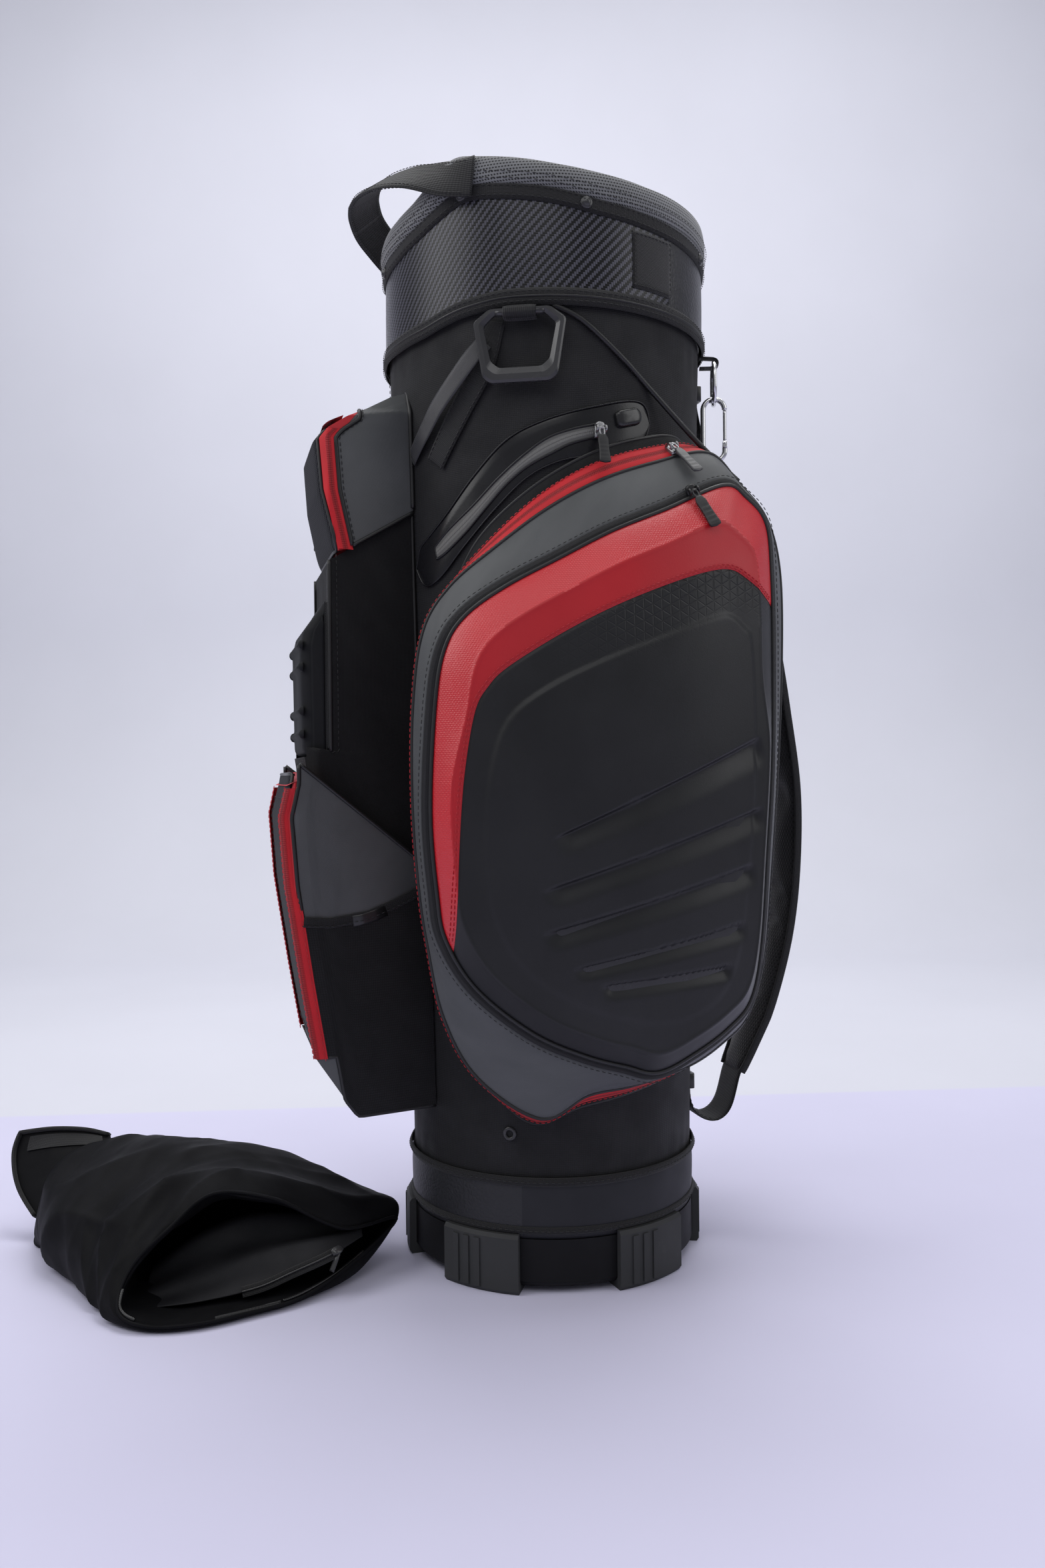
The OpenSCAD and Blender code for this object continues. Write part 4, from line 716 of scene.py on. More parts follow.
def build_rim():
    low = 858.6
    rows = []
    crest, step = height("crest", FULL), height("bind", FULL)
    lump = 0.6 * wave3(around(FULL, 138.0, crest), 0.03, 5)

    def spot(r, z):
        rows.append(around(FULL, r, z))
    spot(138.3, np.full(FULL.shape, low))
    spot(138.3, step - 2)
    spot(141.2, step - 0.5)
    spot(143.2 + lump * 0.3, step + 1.6)
    h = crest - step
    for k in np.linspace(0.2, 0.86, 7):
        spot(143.2 + 1.4 * sin(pi * k) + lump * 0.6, step + 1.6 + (h - 5) * k)
    for a in np.linspace(0.15, 1, 9) * pi * 0.93:
        spot(136.2 + 7.2 * cos(a) + lump * 0.3, crest - 4.4 + 4.6 * sin(a) + lump * 0.25)
    for k in np.linspace(0, 1, 7):
        spot(128.6 - 1.3 * sin(pi * k), crest - 7 - (crest - 7 - low) * k)
    rim = grid("rim_pad_mesh", rows, "rim", "bag", "rim_padding", "rim_pad", loop_u=True)
    for at, r in ((0.30, 144.9), (0.0, 143.8)):
        p = around(FULL, r, step + 1.6 + (h - 5) * at + 1.2)
        stitches("rim_stitch_%d" % (at * 10), p, unit(p * [1, 1, 0]), "bag", loop=True, slot="rim_padding",
                 r=0.35)
    for k, az in enumerate((-145, -88, -47, 0, 47, 88, 145, 180)):
        z = float(height("bind", az)) - 6.3
        prof = [(0.01, 3.0), (1.6, 2.9), (2.6, 2.4), (3.0, 1.7), (3.6, 1.5), (4.6, 1.2), (5.0, 0.5),
                (5.0, -0.2)]
        a = np.linspace(0, 2 * pi, 28, endpoint=False)
        c = around(az, 142.6, z)
        out, side = unit(around(az, 1.0, 0.0)), unit(np.cross([0, 0, 1], around(az, 1.0, 0.0)))
        rows = [c + out * h2
                + r * (np.cos(a)[:, None] * side + np.sin(a)[:, None] * np.array([0, 0, 1.0]))
                for r, h2 in prof]
        o = grid("snap_stud_%d" % k, rows, "gunmetal", "bag", "satin_black", loop_u=True, flip=True)
        if k == 0:
            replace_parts(o, "snap_studs")


# ---------------------------------------------------------------- handle, rings, ribbon, welded pocket
GRAB_LINE = [[115.6, -90.3, 889], [101.7, -105.4, 892], [85.8, -118.5, 899], [68, -134, 906],
             [45, -149, 911], [20, -157.5, 914.5], [0, -160, 915]]
SATIN_LINE = [[54, 1.6, 760], [50, 6, 748], [44, 8, 731], [37, 8, 714], [30, 5, 699], [20, 1.6, 681]]


def flat_ribbon(name, p, wide, w, t, mat, body, slot=None, replaces=(), n=9, edge=0.35, **k):
    """A tape along p: wide[i] points across it; lens-shaped thickness with soft edges."""
    p, wide = np.asarray(p, float), unit(wide)
    tan = tangents(p)
    wide = unit(wide - tan * np.sum(wide * tan, -1, keepdims=True))
    nrm = unit(np.cross(tan, wide))
    s = np.linspace(-1, 1, n)
    top = [(a * w / 2, t / 2 * (1 - (1 - edge) * abs(a) ** 6)) for a in s]
    loop = top + [(a, -b) for a, b in top[::-1]]
    rows = np.array([[c + x * ww + y * nn for x, y in loop] for c, ww, nn in zip(p, wide, nrm)])
    d = np.r_[0, np.cumsum(np.linalg.norm(np.diff(p, axis=0), axis=1))]
    uv = np.stack(np.broadcast_arrays(d[:, None], np.array([x for x, _ in loop])[None]), -1)
    return grid(name, rows, mat, body, slot, replaces, loop_u=True, uv=uv, caps=True, flip=True, **k)


def build_handle():
    half = opened(GRAB_LINE, 8)
    line = np.concatenate([half, half[-2::-1] * [-1, 1, 1]])
    n = len(line)
    t = tangents(line)
    out = unit(np.cross(t, [0, 0, 1.0]))
    up = unit(np.cross(out, t))
    lean = np.radians(58 * np.sin(pi * np.arange(n) / (n - 1)))[:, None]
    wide = np.cos(lean) * up + np.sin(lean) * out
    flat_ribbon("grab_webbing", line, wide, 32, 2.6, "webbing", "bag", "satin_webbing", "grab_handle", n=13)
    # a folded grip over the middle of the loop
    mid = slice(n // 2 - 14, n // 2 + 15)
    nrm = unit(np.cross(t, wide))
    flat_ribbon("grab_fold", line[mid] + nrm[mid] * 0.0, wide[mid], 30.5, 3.4, "webbing", "bag",
                "satin_webbing", n=11)
    for s in (-13.2, 13.2):
        for side in (-1.55, 1.55):
            p = line + wide * s + nrm * side
            stitches("grab_stitch_%d_%d" % (s, side * 10), p[4:-4], nrm[4:-4] * np.sign(side), "bag",
                     slot="satin_webbing", pitch=4.2)


def bar_frame(az, r, z):
    """Origin and the sideways, up and outward directions at an azimuth."""
    out = unit(around(az, 1.0, 0.0))
    return around(az, r, z), unit(np.cross([0, 0, 1.0], out)), np.array([0, 0, 1.0]), out


def rounded(poly, r=4, n=5):
    """Corners of a polygon turned into arcs."""
    p = np.array(poly, float)
    out = []
    for i in range(len(p)):
        a, b, c = p[i - 1], p[i], p[(i + 1) % len(p)]
        u, v = unit(a - b), unit(c - b)
        k = min(r, 0.45 * np.linalg.norm(a - b), 0.45 * np.linalg.norm(c - b))
        q0, q1 = b + u * k, b + v * k
        for t in np.linspace(0, 1, n):
            out.append((1 - t) ** 2 * q0 + 2 * t * (1 - t) * b + t * t * q1)
    return np.array(out)


def build_towel_ring():
    o, side, up, out = bar_frame(66.5, 144.5, 779)
    outer = [[-24, 3], [-37, -7], [-30, -50], [-24, -55], [24, -55], [30, -50], [37, -7], [24, 3]]
    inner = [[-19.5, -1.5], [-29, -10.5], [-23.5, -38], [-17, -43.5], [17, -43.5], [23.5, -38], [29, -10.5],
             [19.5, -1.5]]
    # each corner-to-corner stretch has a two-bevelled section, as a cut ring has
    oc, ic = rounded(outer, 3.0, 4), rounded(inner, 2.5, 4)
    rows = []
    for f, h in ((0, 0.0), (0.0, 1.7), (0.16, 3.0), (0.55, 3.0), (1.0, 1.2), (1.0, -1.2), (0.55, -3.0),
                 (0.16, -3.0), (0, -1.7)):
        p = oc * (1 - f) + ic * f
        rows.append(o + p[:, :1] * side + p[:, 1:] * up + h * out)
    rows = np.array(rows)
    grid("towel_ring_frame", rows, "gunmetal", "towel_ring", "metal", "towel_ring", loop_u=True, loop_v=True,
         smooth=False)
    a = np.linspace(-19.4, 19.4, 8)
    sweep("towel_ring_bar", np.array([o + x * side for x in a]), section("round", 6, 6, 20), "gunmetal",
          "towel_ring", "metal")
    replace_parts(tab("towel_tab", 66.5, 144.5, 779, 26, 3.4), "ring_tabs")


def tab(name, az, r, z, w, bore):
    """A webbing tab folded over a bar and sewn under the collar's binding."""
    o, side, up, out = bar_frame(az, r, z)
    back = tube_r(z) + 0.4 - r
    low = bore + 1.5
    path = [(back, low + 4), (back + 0.6, bore + 2.4), (-0.2, bore + 1.3)]
    a = np.linspace(80, -90, 12)
    path += [((bore + 1.0) * cos(rad(t)), (bore + 1.0) * sin(rad(t))) for t in a]
    path += [(-0.5, -bore - 1.0), (back * 0.6, -bore - 0.9), (back + 0.5, -bore - 0.8)]
    p = np.array([o + out * x + up * y for x, y in path])
    return flat_ribbon(name, p, np.tile(side, (len(p), 1)), w, 1.5, "webbing", "bag", "satin_webbing", n=9)


def wire_loop(name, pts, r, mat, body, slot, rep=(), loop=True, n=16, **k):
    return sweep(name, pts, section("round", 2 * r, 2 * r, n), mat, body, slot, rep, loop=loop, **k)


def build_oval_ring():
    o, side, up, out = bar_frame(160, 151, 780)
    c = o - up * 15
    a = np.linspace(0, pi, 25)
    arch = [c + side * 15 * cos(t) + up * 15 * sin(t) for t in a]
    low = [c - up * 6 + side * 15 * cos(t) + up * 15 * sin(t) for t in a + pi]
    wire_loop("oval_ring_wire", np.array(arch + low), 2.0, "chrome", "oval_ring", "bright_wire", "oval_ring")
    tab("oval_tab", 160, 151, 780, 10, 3.0)
    cz = 739.15
    cc = around(160, 151, cz)
    a = np.linspace(0, pi, 21)
    top = [cc + out * 9.5 * cos(t) + up * 9.5 * sin(t) for t in a]
    bot = [cc - up * 36 + out * 9.5 * cos(t) + up * 9.5 * sin(t) for t in a + pi]
    # back leg, both arches, and the stub below the gate, which is on the outer side
    line = [cc - up * 33 + out * 9.5] + bot[::-1] + [cc - up * 18 - out * 9.5] + top[::-1]
    wire_loop("carabiner_wire", even(np.array(line), 1.2), 2.25, "chrome", "carabiner", "bright_wire",
              "carabiner", loop=False)
    pin = cc + out * 9.5 - up * 30
    for s in (-2.5, 2.5):
        q = np.array([pin + side * s + up * y for y in (-4.6, -3, 0, 1.7)])
        sweep("carabiner_ear_%d" % s, q, section("box", 1.2, 3.8, 12), "chrome", "carabiner", "bright_wire",
              up=out)
    sweep("gate_pin", np.array([pin - side * 3.4, pin, pin + side * 3.4]), section("round", 1.7, 1.7, 12),
          "chrome", "carabiner", "bright_wire")
    rod = np.array([pin + up * y for y in np.linspace(1.5, 29.4, 12)])
    wire_loop("gate_rod", rod, 1.5, "chrome", "carabiner_gate", "bright_wire", "carabiner_gate", loop=False,
              n=14)
    sweep("gate_knuckle", np.array([pin - side * 1.7, pin + side * 1.7]), section("round", 4, 4, 18),
          "chrome", "carabiner_gate", "bright_wire")


def build_satin():
    q = opened(SATIN_LINE, 8)
    p = np.array([around(a, tube_r(z) + d, z) for a, d, z in q])
    t = tangents(p)
    wide = np.cross(t, p * [1, 1, 0])
    flat_ribbon("satin_ribbon", p, wide, 15, 1.0, "satin", "bag", "satin_webbing", "satin_strap", n=11)
    for e, (az, z) in enumerate(((54, 760), (20, 681))):
        c = skin(az, z, 1.6)
        side = unit(wide[0 if e == 0 else -1])
        for s in (-1, 1):
            stitches("ribbon_stitch_%d_%d" % (e, s),
                     np.array([c - side * 5 + t[0 if e == 0 else -1] * s * 2, c + side * 5
                               + t[0 if e == 0 else -1] * s * 2]) + unit(c * [1, 1, 0]) * 0.4,
                     unit(c * [1, 1, 0]), "bag", slot="satin_webbing", pitch=2.6, length=1.9, r=0.35)


def build_tape():
    """A broad tape sewn down the tube beside the ribbon."""
    q = opened([[57, 0.8, 776], [53, 1.0, 742], [45, 1.0, 712], [33, 1.0, 672]], 10)
    p = np.array([around(a, tube_r(z) + d, z) for a, d, z in q])
    wide = np.cross(tangents(p), p * [1, 1, 0])
    flat_ribbon("panel_tape", p, wide, 21, 1.0, "binding", "bag", "satin_webbing", n=9)
    for s in (-8.6, 8.6):
        stitches("panel_tape_stitch_%d" % s, p + unit(wide) * s + unit(p * [1, 1, 0]) * 0.55,
                 unit(p * [1, 1, 0]), "bag", slot="satin_webbing", pitch=4.4)


def tube_uz(u, z, az, off):
    """A place on the tube given sideways from the plane at an azimuth, as the flat cut of the solids is."""
    r = tube_r(z) + off
    return around(az + np.degrees(np.arcsin(np.clip(np.asarray(u, float) / r, -1, 1))), r, z)


def spans(a, b, n, m=9):
    """Rows between two polylines with the same ends order, n along and m across."""
    ea, eb = even(a, 1), even(b, 1)
    ta, tb = np.linspace(0, len(ea) - 1, n), np.linspace(0, len(eb) - 1, n)
    pa = np.stack([np.interp(ta, np.arange(len(ea)), ea[:, k]) for k in range(ea.shape[1])], 1)
    pb = np.stack([np.interp(tb, np.arange(len(eb)), eb[:, k]) for k in range(eb.shape[1])], 1)
    t = np.linspace(0, 1, m)[:, None, None]
    return pa[None] * (1 - t) + pb[None] * t


def build_welded():
    az = 66
    top = opened([[-92, 606], [-66, 628], [-40, 656], [-12, 682], [18, 696], [58, 708], [92, 716],
                  [99, 700]], 8)
    low = opened([[-96, 590], [-86, 574], [-70, 580], [-48, 602], [-20, 630], [5, 652], [30, 664],
                  [60, 671], [92, 684], [99, 700]], 8)
    ztop = opened([[-76, 604], [-64, 615], [-40, 633], [-19, 652], [2, 669], [21, 682], [40, 689],
                   [60, 694]], 8)
    zlow = opened([[-74, 594], [-64, 599], [-46, 613], [-28, 631], [-12, 647], [5, 660], [26, 671],
                   [40, 678], [60, 684]], 8)
    rows = spans(low, top, 150, 26)
    m = rows.shape[0]
    pts = []
    for i in range(m):
        k = i / (m - 1)
        lift = 1.0 * min(1, 5 * k, 5 * (1 - k)) ** 0.6
        pts.append(tube_uz(rows[i, :, 0], rows[i, :, 1], az, 0.15 + lift))
    pts = np.array([tube_uz(rows[0, :, 0], rows[0, :, 1], az, -0.4), *pts,
                    tube_uz(rows[-1, :, 0], rows[-1, :, 1], az, -0.4)])
    grid("welded_surround", pts, "weld", "bag", "welded_panel", "valuables_panel")
    # the zip in its window, with a raised welded rib round it
    zz = spans(zlow, ztop, 150, 9)
    zp = np.array([tube_uz(q[:, 0], q[:, 1], az, 1.5 + 0.5 * (1 - abs(2 * i / 8 - 1) ** 4)) for i,
                   q in enumerate(zz)])
    u = arc(zp, 1)
    v = np.linspace(-5.2, 5.2, 9)[:, None] * np.ones(150)
    grid("valuables_coil", zp, "grey_zip", "bag", "grey_zip", "valuables_zip", uv=np.stack([u, v], -1))
    ring = np.concatenate([even(zlow, 2), even(ztop[::-1], 2)])
    p = tube_uz(ring[:, 0], ring[:, 1], az, 1.3)
    sweep("welded_rib", even(p, 2, True), section("round", 2.6, 2.2, 10), "weld", "bag", "welded_panel",
          loop=True)
    rim = np.concatenate([even(low, 3), even(top[::-1], 3)])
    p = tube_uz(rim[:, 0], rim[:, 1], az, 0.7)
    sweep("welded_edge", even(p, 3, True), section("round", 2.0, 1.4, 8), "weld", "bag", "welded_panel",
          loop=True)
    # garage: a lozenge hood over the zip's end
    outline = [[-12, -6], [-8, -8], [8, -7], [12, -3], [12, 3], [8, 7], [-8, 6], [-12, 4]]
    o = around(103, tube_r(702) + 1.3, 702)
    out = unit(around(103, 1.0, 0.0))
    side = unit(np.cross([0, 0, 1.0], out))
    x = side * cos(rad(12)) + np.array([0, 0, 1.0]) * -sin(rad(12)) * -1
    y = unit(np.cross(out, x))
    oc = rounded(outline, 3, 4)
    rows = []
    for f, h in ((1.0, -0.9), (1.0, 1.6), (0.93, 2.9), (0.8, 3.7), (0.55, 4.1), (0.25, 4.3), (0.02, 4.35)):
        rows.append(o + out * h + f * (oc[:, :1] * x + oc[:, 1:] * y))
    grid("garage_hood", rows, "plastic", "bag", "satin_black", "zip_garage", loop_u=True)


# ---------------------------------------------------------------- sliders and pulls
def slider(name, place, body, rep, low=7, mat="metal"):
    """Slider body with a rounded nose and a bridge for its pull; local -Y is outwards."""
    out = [[-4.5, -low], [4.5, -low], [4.5, 2], [3.4, 5.2], [1.2, 6], [-1.2, 6], [-3.4, 5.2], [-4.5, 2]]
    poly = rounded(out, 1.2, 3)

    def at(x, y, z):
        return place(np.array([x, y, z], float))
    rows = []
    for f, y in ((1, -0.1), (1, -2.4), (0.93, -3.1), (0.8, -3.4), (0.4, -3.5), (0.02, -3.5)):
        rows.append([at(p[0] * f, y, p[1] * f) for p in poly])
    grid(name + "_body", rows, mat, body, "metal", rep, loop_u=True)
    a = np.linspace(0, pi, 13)
    for s in (-3.7, 3.7):
        pts = [at(s, -3.0 - 3.9 * sin(t), 2.6 * cos(t)) for t in a]
        sweep("%s_lug_%d" % (name, s), np.array(pts), section("box", 1.2, 1.8, 10), mat, body, "metal")
    sweep(name + "_bar", np.array([at(-4, -6, 0), at(0, -6, 0), at(4, -6, 0)]),
          section("round", 1.8, 1.8, 12), mat, body, "metal")


def puller(name, place, body, rep, length=30, mat="pull", metal="metal"):
    """A small metal link on the bar and a moulded tab below it, with a soft waist and a ribbed end."""
    def at(x, y, z):
        return place(np.array([x, y, z], float))
    a = np.linspace(0, 2 * pi, 20, endpoint=False)
    ring = [at(2.0 * cos(t), 0, -2.6 + 4.0 * sin(t)) for t in a]
    sweep(name + "_link", np.array(ring), section("round", 1.5, 1.5, 8), metal, body, "metal", loop=True)
    zs = np.linspace(-5.0, -length, 26)
    rows = []
    for z in zs:
        k = (z + 5) / (5 - length)
        w = 2.6 + 2.0 * smoothstep(0.0, 0.22,
                                   k) - 0.5 * sin(pi * min(1, max(0, k))) + 0.3 * smoothstep(0.5, 0.9, k)
        t = 1.0 + 0.25 * smoothstep(0.0, 0.2, k)
        if k > 0.35:
            t = t + 0.14 * sin(k * 46)
        end = math.sqrt(max(0.0, 1 - max(0.0, (k - 0.93) / 0.07) ** 2)) * 0.96 + 0.04
        top = math.sqrt(max(0.0, 1 - max(0.0, (0.06 - k) / 0.06) ** 2)) * 0.9 + 0.1
        sec = section("box", 2 * w * min(end, top), 2 * t * min(end ** 0.5, top ** 0.5), 16)
        rows.append([at(x, y, z) for x, y in sec])
    grid(name + "_tab", rows, mat, body, "pull_rubber", rep, loop_u=True, caps=True, flip=True)


def hinged(place, lift):
    """Local frame of a pull hanging from its slider's bar, lifted outwards by an angle."""
    c, s = cos(rad(lift)), sin(rad(lift))

    def at(q):
        x, y, z = q
        return place(np.array([x, -6 + y * c + z * s, -y * s + z * c]))
    return at


def at_azimuth(az, off, z):
    out = unit(around(az, 1.0, 0.0))
    side = unit(np.cross([0, 0, 1.0], out))
    o = around(az, tube_r(z) + off, z)
    return lambda q: o + side * q[0] - out * q[1] + np.array([0, 0, 1.0]) * q[2]


def on_side(s, p, tilt, climb=22):
    """The solids' own placing of a zip on a side pocket."""
    cl, tl = rad(-climb), rad(-tilt)

    def at(q):
        x, y, z = q
        x, z = x * cos(cl) + z * sin(cl), -x * sin(cl) + z * cos(cl)
        y, z = y * cos(tl) - z * sin(tl), y * sin(tl) + z * cos(tl)
        x, y = -y, x
        return np.array([s * (x + p[0]), y + p[1], z + p[2]])
    return at


build_tube()
build_bands()
build_collar()
build_rim()
build_handle()
build_towel_ring()
build_oval_ring()
build_satin()
build_tape()
build_welded()
slider("valuables_slider_m", at_azimuth(92, 3, 689), "bag", "valuables_slider")
# it hangs over the red zip below it
puller("valuables_pull_m", hinged(at_azimuth(92, 3, 689), 14), "valuables_pull", "valuables_pull", 30)


# ---------------------------------------------------------------- side pockets
LID_EDGE = [[148, 510], [147, 575], [142, 618], [122, 637], [101, 644], [49, 621], [4, 602], [-38, 580],
            [-79, 558], [-109, 536], [-124, 511], [-131, 469], [-135, 390], [-131, 328], [-125, 293],
            [-103, 256], [-62, 222], [-22, 203], [10, 193], [37, 186], [70, 198], [100, 214], [122, 234],
            [133, 276], [140, 350], [146, 425]]
GUSSET_EDGE = [[172, 510], [171, 585], [157, 628], [127, 655], [97, 676], [47, 663], [1, 646], [-42, 622],
               [-83, 591], [-116, 562], [-136, 528], [-144, 470], [-145, 395], [-141, 330], [-135, 285],
               [-124, 230], [-99, 183], [-51, 150], [-14, 166], [25, 171], [74, 182], [106, 197],
               [131, 216], [148, 258], [157, 325], [166, 415]]
WALL_FOOT = [[118, 505], [117, 585], [112, 640], [100, 668], [85, 694], [40, 686], [-5, 669], [-48, 643],
             [-84, 608], [-101, 570], [-105, 530], [-106, 465], [-106, 395], [-105, 335], [-104, 280],
             [-100, 225], [-84, 172], [-50, 138], [-14, 150], [25, 157], [72, 166], [95, 178], [110, 200],
             [116, 250], [117, 320], [118, 410]]
CENTRE = np.array([8.0, 412.0])
BOW, LID_X, GUSSET_X, LID_SEAT = 0.0011, 172.0, 148.0, 166.7
FINE = 8
lid_line, gusset_line, foot_line = (closed(t, FINE) for t in (LID_EDGE, GUSSET_EDGE, WALL_FOOT))


def grow(p, d):
    t = tangents(np.column_stack([p, np.zeros(len(p))]), True)[:, :2]
    return p + np.column_stack([-t[:, 1], t[:, 0]]) * -d


if (np.linalg.norm(grow(lid_line, 5) - CENTRE,
                   axis=1) < np.linalg.norm(lid_line - CENTRE, axis=1)).mean() > 0.5:
    outward = -1
else:
    outward = 1


def grown(p, d):
    return grow(p, d * outward)


def on_bow(p, x):
    return np.column_stack([x - BOW * p[:, 0] ** 2, p])


def sided(rows, s):
    return np.asarray(rows, float) * [s, 1, 1]


def seg_info(p, a, b):
    """Share along a segment and signed distance to its left for many points."""
    a, b = np.asarray(a, float), np.asarray(b, float)
    d = b - a
    n = np.linalg.norm(d)
    t = ((p - a) @ d) / n ** 2
    s = (d[0] * (p[..., 1] - a[1]) - d[1] * (p[..., 0] - a[0])) / n
    return t, s


def poly_dist(p, poly, loop=True):
    poly = np.asarray(poly, float)
    q = np.vstack([poly, poly[:1]]) if loop else poly
    best = np.full(p.shape[:-1], 1e9)
    for a, b in zip(q[:-1], q[1:]):
        d = b - a
        t = np.clip(((p - a) @ d) / (d @ d), 0, 1)
        best = np.minimum(best, np.linalg.norm(p - a - t[..., None] * d, axis=-1))
    return best


def inside(p, poly):
    poly = np.asarray(poly, float)
    x, y = p[..., 0], p[..., 1]
    hit = np.zeros(p.shape[:-1], bool)
    for a, b in zip(poly, np.roll(poly, -1, 0)):
        cross = ((a[1] > y) != (b[1] > y)) & (x < (b[0] - a[0]) * (y - a[1]) / (b[1] - a[1] + 1e-12) + a[0])
        hit ^= cross
    return hit


def radius_of(line, th):
    """Distance from the lid's centre to a closed outline in each direction."""
    d = line - CENTRE
    a = np.unwrap(np.arctan2(d[:, 1], d[:, 0]))
    r = np.hypot(d[:, 0], d[:, 1])
    o = np.argsort(a % (2 * pi))
    aa, rr = (a % (2 * pi))[o], r[o]
    return np.interp(np.asarray(th) % (2 * pi), np.r_[aa[-1] - 2 * pi, aa, aa[0] + 2 * pi],
                     np.r_[rr[-1], rr, rr[0]])


# the sewn line between the red frame and the black middle, and the raised panel inside it
SEAM = opened([[147.6, 552], [141, 555.5], [128, 562], [116, 569], [100, 575.5], [78, 572.5], [43, 561],
               [-1, 543], [-42, 522], [-82, 497], [-97, 482], [-106, 465], [-113, 428], [-117, 389],
               [-120, 330], [-121, 282], [-123.5, 288]], 6)
PLATEAU = closed([[119, 521], [112, 531], [98, 540], [82, 538], [40, 523], [-14, 502], [-55, 482],
                  [-84, 458], [-97, 420], [-101, 370], [-97, 320], [-80, 280], [-45, 250], [0, 232],
                  [45, 225], [85, 240], [105, 275], [114, 330], [121, 400], [122, 470]], 4)
LOUVRES = (((127, 447), (-54, 369), (133, 420), (-57, 349)), ((130, 391), (-62, 330), (130, 369), (-62, 311)),
           ((121, 346), (-62, 298), (118, 325), (-50, 284)), ((112, 300), (-38, 271), (108, 283), (-27, 265)),
           ((98, 267), (-16, 258), (90, 254), (-6, 248)))


def lid_crease(th):
    """Share of the lid's radius at which the bevel turns into the face."""
    top = smoothstep(rad(10), rad(40), th) * (1 - smoothstep(rad(150), rad(185), th % (2 * pi)))
    return 0.925 - 0.065 * top


def lid_height(p):
    """Height of the lid's skin over its edge plane at [Y, Z] places."""
    d = p - CENTRE
    th = np.arctan2(d[..., 1], d[..., 0])
    k = np.hypot(d[..., 0], d[..., 1]) / radius_of(lid_line, th)
    kb = lid_crease(th)
    outer = 15.2 * np.clip((1 - k) / (1 - kb), 0, 1) ** 0.86
    inner = 4.8 * smoothstep(0, 1, np.clip((kb - k) / (kb - 0.25), 0, 1)) ** 0.8
    h = outer + inner
    # a crease between the bevel and the face
    h = h + 0.5 * np.exp(-((k - kb) / 0.008) ** 2)
    dist = poly_dist(p, PLATEAU)
    sd = np.where(inside(p, PLATEAU), dist, -dist)
    fade = smoothstep(330, 440, p[..., 1]) * 0.7 + 0.3
    h = h + 1.9 * smoothstep(-1.5, 3.5, sd) * fade
    # the middle is sunk a little under the frame along the seam
    seam = poly_dist(p, SEAM, False)
    h = h - 0.9 * np.exp(-(seam / 1.6) ** 2)
    for a1, a2, b1, b2 in LOUVRES:
        u, s = seg_info(p, a1, a2)
        w = (1 - u) * np.linalg.norm(np.subtract(a1, b1)) + u * np.linalg.norm(np.subtract(a2, b2))
        t = s / w
        ends = smoothstep(0.0, 0.07, u) * (1 - smoothstep(0.9, 1.0, u))
        h = h - 4.2 * smoothstep(0.0, 0.13, t) * (1 - smoothstep(0.13, 1.0, t)) ** 1.25 * ends
    return h


def lid_skin(p, lift=0.0):
    p = np.asarray(p, float)
    return np.stack([LID_X - BOW * p[..., 0] ** 2 + lid_height(p) + lift, p[..., 0], p[..., 1]], -1)


def lid_normals(p):
    e = 0.6
    a, b = lid_skin(p + [e, 0]) - lid_skin(p - [e, 0]), lid_skin(p + [0, e]) - lid_skin(p - [0, e])
    n = unit(np.cross(a, b))
    return n * np.sign(n[..., :1])


